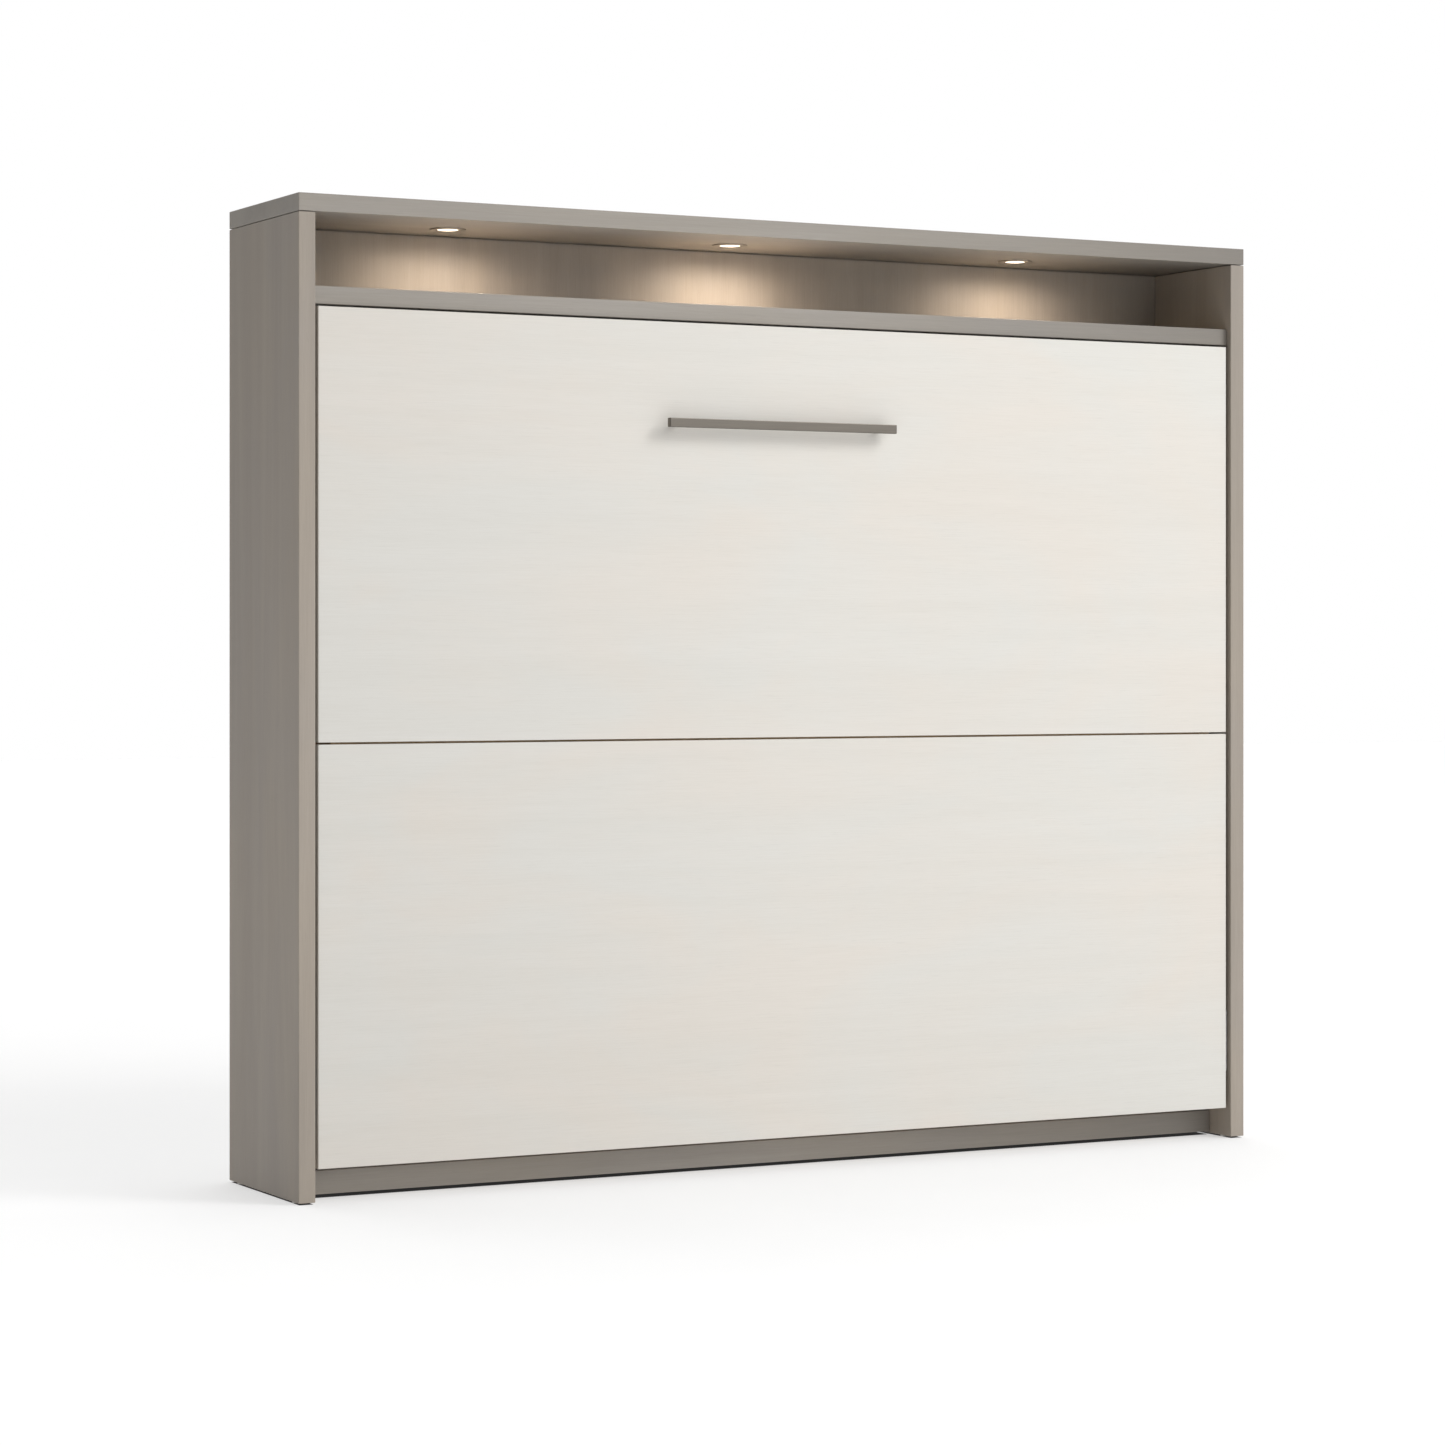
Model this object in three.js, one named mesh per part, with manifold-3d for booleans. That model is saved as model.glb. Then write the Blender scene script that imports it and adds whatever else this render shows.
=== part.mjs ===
// A queen-size wall bed that tilts down sideways out of a cabinet with a lit niche above it.
// Millimetres. +X is to the right, +Y goes back to the wall, +Z is up. While the pieces are made,
// Y = 0 is the front edge of the cabinet's sides; the whole group is then centred on its footprint.

import * as THREE from "three";
import { mergeVertices } from "three/addons/utils/BufferGeometryUtils.js";
import Module from "manifold-3d";

const wasm = await Module();
wasm.setup();

// Cabinet
const WIDTH = 2235;
const HEIGHT = 1965;
const DEPTH = 380;
const BOARD = 35;
const FIT = 0.3; // gap between pieces that touch
const JOINT_LINE = 1.6; // open line where two boards meet in view
const GLIDE_HEIGHT = 3.2;
const GLIDE_RADIUS = 14;
const GLIDE_INSET = 40; // from the front and the back of a side panel
const GLIDE_PIN_RADIUS = 2.4;
const GLIDE_PIN_TOP = 18;
const GLIDE_PIN_PLAY = 0.4;
const SHELF_TOP = 1787;
const SHELF_SETBACK = 15;
const NICHE_DEPTH = 292;
const NICHE_BACK = 12;
const NICHE_GROOVE = [7, 3.5]; // depth and height of the groove along the top of the niche's back
const PLINTH_SETBACK = 80;
const PLINTH_BOTTOM = 7;
const PLINTH_TOP = 54;
const RAIL_BOARD = 18;
const REAR_RAIL_HEIGHT = 100;
const REAR_RAIL_BOTTOM = 8;
const WALL_BRACKET_X = 700;
const BOARD_EDGE = 1; // rounding of the boards' edges

const OUTER_X = WIDTH / 2;
const INNER_X = OUTER_X - BOARD;
const TOP_UNDERSIDE = HEIGHT - BOARD;
const SHELF_UNDERSIDE = SHELF_TOP - BOARD;

// Face panels
const FACE_FRONT = 6.4;
const FACE_THICKNESS = 18;
const FACE_SIDE_GAP = 8;
const FACE_BOTTOM = 67;
const SEAM_BOTTOM = 893;
const SEAM_TOP = 897;
const FACE_TOP = 1747;
const FACE_X = INNER_X - FACE_SIDE_GAP;
const FACE_BACK = FACE_FRONT + FACE_THICKNESS;

// Handle, set off the centre line
const HANDLE_LENGTH = 534;
const HANDLE_HEIGHT = 18.6;
const HANDLE_THICKNESS = 12.4;
const HANDLE_EDGE = 1.2;
const HANDLE_X = -56;
const HANDLE_Z = 1540;
const HANDLE_REACH = 35; // from the face to the front of the bar
const POST_INSET = 28;
const POST_RADIUS = 6;
const HANDLE_FRONT = FACE_FRONT - HANDLE_REACH;

// Bed frame and mattress
const FRAME_BOARD = 22;
const FRAME_X = 1042;
const FRAME_BOTTOM = 108;
const FRAME_TOP = 1684;
const FRAME_FRONT = FACE_BACK + FIT;
const FRAME_BACK = 144;
const LEDGE_FRONT = 62;
const LEDGE_BACK = 84;
const LEDGE_DEPTH = 22;
const SLAT_COUNT = 7;
const SLAT_PITCH = 310;
const SLAT_WIDTH = 70;
const SLAT_THICKNESS = 10;
const SLAT_END_GAP = 3;
const MATTRESS_LENGTH = 2032;
const MATTRESS_WIDTH = 1524;
const MATTRESS_THICKNESS = 245;
const MATTRESS_ROUNDING = 22;
const STRAP_X = 508;
const STRAP_WIDTH = 50;
const STRAP_THICKNESS = 2;
const STRAP_GAP = 0.6;
const STRAP_START = 3; // from the mattress's front face to the strap's ends

const FRAME_MIDDLE = (FRAME_BOTTOM + FRAME_TOP) / 2;
const MATTRESS_FRONT = LEDGE_BACK + SLAT_THICKNESS + 2 * FIT;
const MATTRESS_BACK = MATTRESS_FRONT + MATTRESS_THICKNESS;
const MATTRESS_BOTTOM = FRAME_MIDDLE - MATTRESS_WIDTH / 2;
const MATTRESS_TOP = FRAME_MIDDLE + MATTRESS_WIDTH / 2;

// Bed pivot and gas struts, as [y, z] places on the cabinet's sides with the bed shut
const PIVOT = [55, 215];
const PIN_RADIUS = 10;
const PIN_PLAY = 0.3;
const HUB_RADIUS = 17;
const STRUT_ANCHOR = [120, 800];
const STRUT_STUD = [155, 155];
const PLATE = 4;
const PLATE_CORNER = 8;
const PIVOT_PLATE = [42, 70]; // half width and half height
const ANCHOR_PLATE = [18, 48];
const PLATE_SCREW_INSET = 12;
const ANCHOR_SCREW_INSET = 16;
const PIN_CLEARANCE = 0.4; // between a pin's end and the bed frame
const PLATE_OUTER_X = INNER_X - FIT;
const PLATE_INNER_X = PLATE_OUTER_X - PLATE;
const BRACKET_INNER_X = FRAME_X + FIT;
const BRACKET_OUTER_X = BRACKET_INNER_X + PLATE;
const HUB_OUTER_X = 1060;
const STRUT_X = 1059.5;
const STRUT_TUBE_RADIUS = 11;
const STRUT_BORE_RADIUS = 9;
const STRUT_ROD_RADIUS = 5;
const STRUT_TUBE_END = 440; // along the strut, from its anchor
const SOCKET_RADIUS = 11;
const STUD_RADIUS = 5;
const STUD_REACH = 3; // past the strut's centre line
const STUD_BOSS_RADIUS = 7;
const STUD_BOSS_HEIGHT = 1.8;
const STUD_PLAY = 0.4;
const SCREW_RADIUS = 2.7;

// Legs, which hang plumb from the far end of the bed frame
const LEG_PIVOT = [100, 1600];
const LEG_INNER_X = 1076.5;
const LEG_OUTER_X = 1080.5;
const LEG_HALF_WIDTH = 15;
const LEG_PIN_RADIUS = 6;
const LEG_SPACER_RADIUS = 10;
const FOOT_HEIGHT = 12;
const FOOT_MARGIN = 4; // past the leg's edges
const FOOT_LIP = 0.5; // past the leg's faces
const FLOOR_CLEARANCE = 0.5; // under the feet with the bed down

// Niche lights
const LIGHT_X = [-728, -81, 627];
const LIGHT_NAMES = ["left", "middle", "right"];
const LIGHT_Y = 168.5;
const LIGHT_RING_RADIUS = 37;
const LIGHT_RING_HEIGHT = 2.6;
const LIGHT_RECESS = 5;
const LIGHT_CAN_RADIUS = 27;
const LIGHT_LENS_RADIUS = 21.5;
const LIGHT_CAN_HEIGHT = 19;
const CABLE_RADIUS = 1.6;
const CABLE_BORE_RADIUS = 3;
const CABLE_NOTCH = 5; // half the width of the notch where a cable turns down
const CABLE_BEND = 8;
const CABLE_BORE_Z = TOP_UNDERSIDE + 12;
const CABLE_DROP_Y = 318;

// Light driver, standing on the shelf behind the niche
const DRIVER_LOW = [-10, 322, SHELF_TOP + FIT];
const DRIVER_HIGH = [140, 362, SHELF_TOP + 24];
const DRIVER_EDGE = 2;
const CABLE_FLOOR = SHELF_TOP + 8;
const CABLE_ENTRIES = [350, 334, 334]; // Y of each cable where it enters the driver
const CABLE_LEAD = 20; // straight run from the drop before a cable turns to the driver

const ROUND = 20; // sides of a round section
const SMALL_ROUND = 8;
const LIGHT_SIDES = 28;

// ---------------------------------------------------------------- materials

function finish(color, roughness, metalness = 0) {
  return new THREE.MeshStandardMaterial({ color, roughness, metalness });
}

const CARCASS = finish(0x8a8078, 0.6);
const FACE = finish(0xe0dad4, 0.55);
const HANDLE_METAL = finish(0x8b8580, 0.35, 0.9);
const PLYWOOD = finish(0xc9ab7d, 0.7);
const BEECH = finish(0xd9b98c, 0.6);
const STEEL = finish(0x9a9da0, 0.4, 0.9);
const DARK_STEEL = finish(0x2f3133, 0.45, 0.7);
const CHROME = finish(0xd6d8da, 0.15, 1);
const TICKING = finish(0xf1efea, 0.9);
const WEBBING = finish(0x3a3c40, 0.85);
const RUBBER = finish(0x1d1d1e, 0.9);
const LIGHT_METAL = finish(0xb9b4ad, 0.4, 0.8);
const DIFFUSER = finish(0xfff0d2, 0.3);
const PLASTIC = finish(0xe9e9e6, 0.5);
const CABLE = finish(0xf2f2ef, 0.6);

// ---------------------------------------------------------------- shapes

const group = new THREE.Group();

function add(name, geometry, material) {
  const mesh = new THREE.Mesh(geometry, material);
  mesh.name = name;
  group.add(mesh);
}

// A box between its lowest and highest corners.
function block(low, high) {
  const size = low.map((value, axis) => high[axis] - value);
  const middle = low.map((value, axis) => (value + high[axis]) / 2);
  return new THREE.BoxGeometry(...size).translate(...middle);
}

// A box with every edge rounded.
function softBlock(low, high, edge = BOARD_EDGE) {
  const [width, depth, height] = low.map((value, axis) => high[axis] - value);
  const corner = 1.5 * edge;
  const outline = roundedRectangle(width, depth, corner);
  const geometry = new THREE.ExtrudeGeometry(outline, {
    depth: height - 2 * edge,
    bevelThickness: edge,
    bevelSize: edge,
    bevelOffset: -edge,
    bevelSegments: 2,
    curveSegments: 1,
  });
  const [x, y] = [0, 1].map((axis) => (low[axis] + high[axis]) / 2);
  return geometry.translate(x, y, low[2] + edge);
}

function roundedRectangle(width, height, corner) {
  const [x, y] = [width / 2 - corner, height / 2 - corner];
  const shape = new THREE.Shape();
  shape.absarc(x, y, corner, 0, Math.PI / 2);
  shape.absarc(-x, y, corner, Math.PI / 2, Math.PI);
  shape.absarc(-x, -y, corner, Math.PI, 1.5 * Math.PI);
  shape.absarc(x, -y, corner, 1.5 * Math.PI, 2 * Math.PI);
  return shape;
}

// Turns a geometry made along +Z so that it runs along +X, with its own X and Y along Y and Z.
function alongX(geometry) {
  const turn = new THREE.Matrix4().makeBasis(
    new THREE.Vector3(0, 1, 0),
    new THREE.Vector3(0, 0, 1),
    new THREE.Vector3(1, 0, 0),
  );
  return geometry.applyMatrix4(turn);
}

// A [y, z] outline extruded between two X values, in either order.
function plateX(outline, xa, xb) {
  const depth = Math.abs(xb - xa);
  const geometry = new THREE.ExtrudeGeometry(outline, { depth, bevelEnabled: false, curveSegments: 4 });
  return alongX(geometry).translate(Math.min(xa, xb), 0, 0);
}

function polygon(points) {
  return new THREE.Shape(points.map(([a, b]) => new THREE.Vector2(a, b)));
}

// A round bar along X, centred on [y, z].
function barX(radius, xa, xb, [y, z], sides = ROUND) {
  const bar = new THREE.CylinderGeometry(radius, radius, Math.abs(xb - xa), sides);
  return bar.rotateZ(Math.PI / 2).translate((xa + xb) / 2, y, z);
}

function barY(radius, ya, yb, x, z, sides = ROUND) {
  const bar = new THREE.CylinderGeometry(radius, radius, yb - ya, sides);
  return bar.translate(x, (ya + yb) / 2, z);
}

function barZ(radius, za, zb, x, y, sides = ROUND) {
  const bar = new THREE.CylinderGeometry(radius, radius, zb - za, sides);
  return bar.rotateX(Math.PI / 2).translate(x, y, (za + zb) / 2);
}

// A closed [radius, height] profile turned about Z.
function turned(profile, sides = ROUND) {
  const points = profile.map(([radius, height]) => new THREE.Vector2(radius, height));
  return new THREE.LatheGeometry(points, sides).rotateX(Math.PI / 2);
}

function solid(geometry) {
  const bare = new THREE.BufferGeometry();
  bare.setAttribute("position", geometry.getAttribute("position"));
  bare.setIndex(geometry.index);
  const merged = mergeVertices(bare, 1e-4);
  const mesh = new wasm.Mesh({
    numProp: 3,
    vertProperties: merged.attributes.position.array,
    triVerts: new Uint32Array(merged.index.array),
  });
  return new wasm.Manifold(mesh);
}

function geometryOf(manifold) {
  const mesh = manifold.getMesh();
  const geometry = new THREE.BufferGeometry();
  geometry.setAttribute("position", new THREE.BufferAttribute(mesh.vertProperties, 3));
  geometry.setIndex(new THREE.BufferAttribute(mesh.triVerts, 1));
  return geometry;
}

function cut(geometry, tools) {
  return geometryOf(tools.reduce((body, tool) => body.subtract(solid(tool)), solid(geometry)));
}

function join([first, ...others]) {
  return geometryOf(others.reduce((body, part) => body.add(solid(part)), solid(first)));
}

// Calls make(name, side) for the left (-1) and the right (+1).
function eachSide(make) {
  make("left", -1);
  make("right", 1);
}

// ---------------------------------------------------------------- cabinet

function sidePanels() {
  eachSide((name, side) => {
    const [xa, xb] = [side * INNER_X, side * OUTER_X].sort((a, b) => a - b);
    const panel = softBlock([xa, 0, GLIDE_HEIGHT + FIT], [xb, DEPTH, TOP_UNDERSIDE - JOINT_LINE]);
    const holeRadius = GLIDE_PIN_RADIUS + GLIDE_PIN_PLAY;
    const holeTop = GLIDE_PIN_TOP + 2;
    const pinHoles = glidePlaces(side).map(([x, y]) => barZ(holeRadius, 0, holeTop, x, y, SMALL_ROUND));
    add(`${name}_side_panel`, cut(panel, pinHoles), CARCASS);
  });
}

function glidePlaces(side) {
  const x = side * (OUTER_X - BOARD / 2);
  return [[x, GLIDE_INSET], [x, DEPTH - GLIDE_INSET]];
}

function glides() {
  eachSide((name, side) => {
    const rows = ["front", "rear"];
    glidePlaces(side).forEach(([x, y], row) => {
      const disc = barZ(GLIDE_RADIUS, 0, GLIDE_HEIGHT, x, y);
      const pin = barZ(GLIDE_PIN_RADIUS, GLIDE_HEIGHT / 2, GLIDE_PIN_TOP, x, y, SMALL_ROUND);
      add(`floor_glide_${rows[row]}_${name}`, join([disc, pin]), PLASTIC);
    });
  });
}

function topPanel() {
  const panel = softBlock([-OUTER_X, 0, TOP_UNDERSIDE], [OUTER_X, DEPTH, HEIGHT]);
  const pocketTop = TOP_UNDERSIDE + LIGHT_CAN_HEIGHT + 1;
  const below = TOP_UNDERSIDE - 1;
  const tools = LIGHT_X.flatMap((x) => [
    barZ(LIGHT_CAN_RADIUS + FIT, below, pocketTop, x, LIGHT_Y, LIGHT_SIDES),
    barY(CABLE_BORE_RADIUS, LIGHT_Y, CABLE_DROP_Y, x, CABLE_BORE_Z, SMALL_ROUND),
    block(
      [x - CABLE_NOTCH, CABLE_DROP_Y - 2 * CABLE_NOTCH, below],
      [x + CABLE_NOTCH, CABLE_DROP_Y + CABLE_NOTCH, CABLE_BORE_Z + CABLE_NOTCH],
    ),
  ]);
  add("top_panel", cut(panel, tools), CARCASS);
}

function innerBoards() {
  const x = INNER_X - FIT;
  add("niche_shelf", softBlock([-x, SHELF_SETBACK, SHELF_UNDERSIDE], [x, DEPTH, SHELF_TOP]), CARCASS);
  const plinthBack = PLINTH_SETBACK + RAIL_BOARD;
  add("plinth", softBlock([-x, PLINTH_SETBACK, PLINTH_BOTTOM], [x, plinthBack, PLINTH_TOP]), CARCASS);
  const railFront = DEPTH - RAIL_BOARD;
  const railTop = SHELF_UNDERSIDE - FIT;
  add("rear_rail_upper", block([-x, railFront, railTop - REAR_RAIL_HEIGHT], [x, DEPTH, railTop]), CARCASS);
  const lowerTop = REAR_RAIL_BOTTOM + REAR_RAIL_HEIGHT;
  add("rear_rail_lower", block([-x, railFront, REAR_RAIL_BOTTOM], [x, DEPTH, lowerTop]), CARCASS);
}

// The niche's back, with a rebate at its front edges that shows as a dark line round it.
function nicheBack() {
  const x = INNER_X - FIT;
  const [bottom, top] = [SHELF_TOP + FIT, TOP_UNDERSIDE - FIT];
  const board = block([-x, NICHE_DEPTH, bottom], [x, NICHE_DEPTH + NICHE_BACK, top]);
  const [depth, height] = NICHE_GROOVE;
  const [grooveFront, grooveBack] = [NICHE_DEPTH - 1, NICHE_DEPTH + depth];
  const grooveEnd = INNER_X - JOINT_LINE;
  const grooves = [
    block([-OUTER_X, grooveFront, TOP_UNDERSIDE - height], [OUTER_X, grooveBack, TOP_UNDERSIDE]),
    block([-OUTER_X, grooveFront, bottom - 1], [-grooveEnd, grooveBack, TOP_UNDERSIDE]),
    block([grooveEnd, grooveFront, bottom - 1], [OUTER_X, grooveBack, TOP_UNDERSIDE]),
  ];
  add("niche_back_panel", cut(board, grooves), CARCASS);
}

// Steel angles that tie the shelf to the upper rear rail, where the wall screws go.
function wallBrackets() {
  const back = DEPTH - RAIL_BOARD - FIT;
  const top = SHELF_UNDERSIDE - FIT;
  const [thickness, reach, drop, halfWidth] = [3, 40, 60, 30];
  const [holeRadius, holeSpread, holeInset, railHoleInset] = [3, 15, 14, 18];
  const outline = polygon([
    [back, top],
    [back - reach, top],
    [back - reach, top - thickness],
    [back - thickness, top - thickness],
    [back - thickness, top - drop],
    [back, top - drop],
  ]);
  eachSide((name, side) => {
    const x = side * WALL_BRACKET_X;
    const angle = plateX(outline, x - halfWidth, x + halfWidth);
    const holes = [x - holeSpread, x + holeSpread].flatMap((holeX) => [
      barZ(holeRadius, top - thickness - 1, top + 1, holeX, back - reach + holeInset, SMALL_ROUND),
      barY(holeRadius, back - thickness - 1, back + 1, holeX, top - drop + railHoleInset, SMALL_ROUND),
    ]);
    add(`wall_bracket_${name}`, cut(angle, holes), STEEL);
  });
}

// ---------------------------------------------------------------- niche lights

function lights() {
  const ringTop = TOP_UNDERSIDE - FIT;
  const ringBottom = ringTop - LIGHT_RING_HEIGHT;
  const canTop = TOP_UNDERSIDE + LIGHT_CAN_HEIGHT;
  const recess = ringBottom + LIGHT_RECESS;
  const bore = LIGHT_LENS_RADIUS + FIT;
  const [slope, lip, lensInset] = [2, 1.2, 0.6];
  const housing = [
    [0, recess],
    [bore, recess],
    [bore, ringBottom],
    [LIGHT_RING_RADIUS - slope, ringBottom],
    [LIGHT_RING_RADIUS, ringBottom + lip],
    [LIGHT_RING_RADIUS, ringTop],
    [LIGHT_CAN_RADIUS, ringTop],
    [LIGHT_CAN_RADIUS, canTop],
    [0, canTop],
  ];
  LIGHT_X.forEach((x, index) => {
    const name = LIGHT_NAMES[index];
    add(`downlight_housing_${name}`, turned(housing, LIGHT_SIDES).translate(x, LIGHT_Y, 0), LIGHT_METAL);
    const lensLow = ringBottom + lensInset;
    const lens = barZ(LIGHT_LENS_RADIUS, lensLow, recess - FIT, x, LIGHT_Y, LIGHT_SIDES);
    add(`downlight_lens_${name}`, lens, DIFFUSER);
  });
}

// A curve through a list of stations, which are also the only places where a tube along it has a ring.
class Route extends THREE.Curve {
  constructor(stations) {
    super();
    this.stations = stations;
  }

  getPointAt(t) {
    const last = this.stations.length - 1;
    return this.stations[Math.round(t * last)].clone();
  }

  getTangentAt(t) {
    const last = this.stations.length - 1;
    const index = Math.round(t * last);
    const before = this.stations[Math.max(index - 1, 0)];
    const after = this.stations[Math.min(index + 1, last)];
    return after.clone().sub(before).normalize();
  }
}

// A route through the points, with each corner rounded.
function roundedRoute(points, radius) {
  const places = points.map((point) => new THREE.Vector3(...point));
  const stations = [places[0]];
  for (let i = 1; i < places.length - 1; i += 1) {
    const start = places[i].clone().add(places[i - 1].clone().sub(places[i]).setLength(radius));
    const end = places[i].clone().add(places[i + 1].clone().sub(places[i]).setLength(radius));
    stations.push(...new THREE.QuadraticBezierCurve3(start, places[i], end).getPoints(4));
  }
  stations.push(places.at(-1));
  return new Route(stations);
}

function cable(name, points) {
  const route = roundedRoute(points, CABLE_BEND);
  const section = new THREE.Shape().absarc(0, 0, CABLE_RADIUS, 0, 2 * Math.PI);
  const steps = route.stations.length - 1;
  const tube = new THREE.ExtrudeGeometry(section, { steps, extrudePath: route, curveSegments: 4 });
  add(`light_cable_${name}`, geometryOf(solid(tube)), CABLE);
}

// Each cable leaves its light through the top panel, drops behind the niche and runs to the driver.
function cables() {
  const start = LIGHT_Y + LIGHT_CAN_RADIUS + FIT;
  const leftEnd = DRIVER_LOW[0] - FIT;
  const rightEnd = DRIVER_HIGH[0] + FIT;
  LIGHT_X.forEach((x, index) => {
    const endX = x < DRIVER_LOW[0] ? leftEnd : rightEnd;
    const endY = CABLE_ENTRIES[index];
    cable(LIGHT_NAMES[index], [
      [x, start, CABLE_BORE_Z],
      [x, CABLE_DROP_Y, CABLE_BORE_Z],
      [x, CABLE_DROP_Y, CABLE_FLOOR],
      [x + CABLE_LEAD * Math.sign(endX - x), endY, CABLE_FLOOR],
      [endX, endY, CABLE_FLOOR],
    ]);
  });
}

function driver() {
  const body = softBlock(DRIVER_LOW, DRIVER_HIGH, DRIVER_EDGE);
  const inletY = DRIVER_HIGH[1] - 12;
  const inletZ = (DRIVER_LOW[2] + DRIVER_HIGH[2]) / 2;
  const [inletHalfWidth, inletHalfHeight, inletDepth] = [9, 5, 12];
  const [pinRadius, pinSpread, pinSetback] = [1.2, 4, 2];
  const recess = block(
    [DRIVER_HIGH[0] - inletDepth, inletY - inletHalfWidth, inletZ - inletHalfHeight],
    [DRIVER_HIGH[0] + 1, inletY + inletHalfWidth, inletZ + inletHalfHeight],
  );
  const pinEnds = [DRIVER_HIGH[0] - inletDepth - 1, DRIVER_HIGH[0] - pinSetback];
  const pins = [-pinSpread, pinSpread].map((step) =>
    barX(pinRadius, ...pinEnds, [inletY + step, inletZ], SMALL_ROUND),
  );
  add("light_driver", join([cut(body, [recess]), ...pins]), PLASTIC);
}

// ---------------------------------------------------------------- bed

function facePanels() {
  const panel = (bottom, top) => softBlock([-FACE_X, FACE_FRONT, bottom], [FACE_X, FACE_BACK, top]);
  add("face_panel_lower", panel(FACE_BOTTOM, SEAM_BOTTOM), FACE);
  add("face_panel_upper", panel(SEAM_TOP, FACE_TOP), FACE);
}

function handle() {
  const halfLength = HANDLE_LENGTH / 2;
  const barBack = HANDLE_FRONT + HANDLE_THICKNESS;
  const low = [HANDLE_X - halfLength, HANDLE_FRONT, HANDLE_Z - HANDLE_HEIGHT / 2];
  const high = [HANDLE_X + halfLength, barBack, HANDLE_Z + HANDLE_HEIGHT / 2];
  add("handle_bar", softBlock(low, high, HANDLE_EDGE), HANDLE_METAL);
  eachSide((name, side) => {
    const x = HANDLE_X + side * (halfLength - POST_INSET);
    const post = barY(POST_RADIUS, barBack + FIT, FACE_FRONT - FIT, x, HANDLE_Z);
    add(`handle_post_${name}`, post, HANDLE_METAL);
  });
}

// The long rails carry a ledge for the slats; mirrored is 1 for the lower one and -1 for the upper.
function longRail(name, outerZ, mirrored) {
  const innerZ = outerZ + mirrored * FRAME_BOARD;
  const ledgeZ = innerZ + mirrored * LEDGE_DEPTH;
  const outline = polygon([
    [FRAME_FRONT, outerZ],
    [FRAME_BACK, outerZ],
    [FRAME_BACK, innerZ],
    [LEDGE_BACK, innerZ],
    [LEDGE_BACK, ledgeZ],
    [LEDGE_FRONT, ledgeZ],
    [LEDGE_FRONT, innerZ],
    [FRAME_FRONT, innerZ],
  ]);
  add(name, plateX(outline, -FRAME_X, FRAME_X), PLYWOOD);
}

function frame() {
  longRail("frame_rail_lower", FRAME_BOTTOM, 1);
  longRail("frame_rail_upper", FRAME_TOP, -1);
  const bottom = FRAME_BOTTOM + FRAME_BOARD + FIT;
  const top = FRAME_TOP - FRAME_BOARD - FIT;
  eachSide((name, side) => {
    const [xa, xb] = [side * FRAME_X, side * (FRAME_X - FRAME_BOARD)].sort((a, b) => a - b);
    const rail = block([xa, FRAME_FRONT, bottom], [xb, FRAME_BACK, top]);
    const ledgeBites = [bottom - 1, top - LEDGE_DEPTH - FIT].map((z) =>
      block([xa - 1, LEDGE_FRONT - FIT, z], [xb + 1, LEDGE_BACK + FIT, z + LEDGE_DEPTH + FIT + 1]),
    );
    add(`frame_end_rail_${name}`, cut(rail, ledgeBites), PLYWOOD);
  });
  const beamX = FRAME_X - FRAME_BOARD - FIT;
  const halfBeam = FRAME_BOARD / 2;
  const beamLow = [-beamX, FRAME_FRONT, FRAME_MIDDLE - halfBeam];
  add("frame_centre_beam", block(beamLow, [beamX, LEDGE_BACK, FRAME_MIDDLE + halfBeam]), PLYWOOD);
}

function slats() {
  const bottom = FRAME_BOTTOM + FRAME_BOARD + SLAT_END_GAP;
  const top = FRAME_TOP - FRAME_BOARD - SLAT_END_GAP;
  const front = LEDGE_BACK + FIT;
  for (let i = 0; i < SLAT_COUNT; i += 1) {
    const x = (i - (SLAT_COUNT - 1) / 2) * SLAT_PITCH;
    const low = [x - SLAT_WIDTH / 2, front, bottom];
    add(`slat_${i + 1}`, block(low, [x + SLAT_WIDTH / 2, front + SLAT_THICKNESS, top]), BEECH);
  }
}

function mattress() {
  const x = MATTRESS_LENGTH / 2;
  const low = [-x, MATTRESS_FRONT, MATTRESS_BOTTOM];
  add("mattress", softBlock(low, [x, MATTRESS_BACK, MATTRESS_TOP], MATTRESS_ROUNDING), TICKING);
}

// Webbing that holds the mattress down on the slats while the bed stands upright.
function straps() {
  const start = MATTRESS_FRONT + STRAP_START;
  const [inner, outer] = [STRAP_GAP, STRAP_GAP + STRAP_THICKNESS];
  const outline = polygon([
    [start, MATTRESS_BOTTOM - outer],
    [MATTRESS_BACK + outer, MATTRESS_BOTTOM - outer],
    [MATTRESS_BACK + outer, MATTRESS_TOP + outer],
    [start, MATTRESS_TOP + outer],
    [start, MATTRESS_TOP + inner],
    [MATTRESS_BACK + inner, MATTRESS_TOP + inner],
    [MATTRESS_BACK + inner, MATTRESS_BOTTOM - inner],
    [start, MATTRESS_BOTTOM - inner],
  ]);
  eachSide((name, side) => {
    const x = side * STRAP_X;
    add(`mattress_strap_${name}`, plateX(outline, x - STRAP_WIDTH / 2, x + STRAP_WIDTH / 2), WEBBING);
  });
}

// ---------------------------------------------------------------- pivots, struts and legs

function screwHoles(xa, xb, places) {
  return places.map((place) => barX(SCREW_RADIUS, xa - 1, xb + 1, place, SMALL_ROUND));
}

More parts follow.
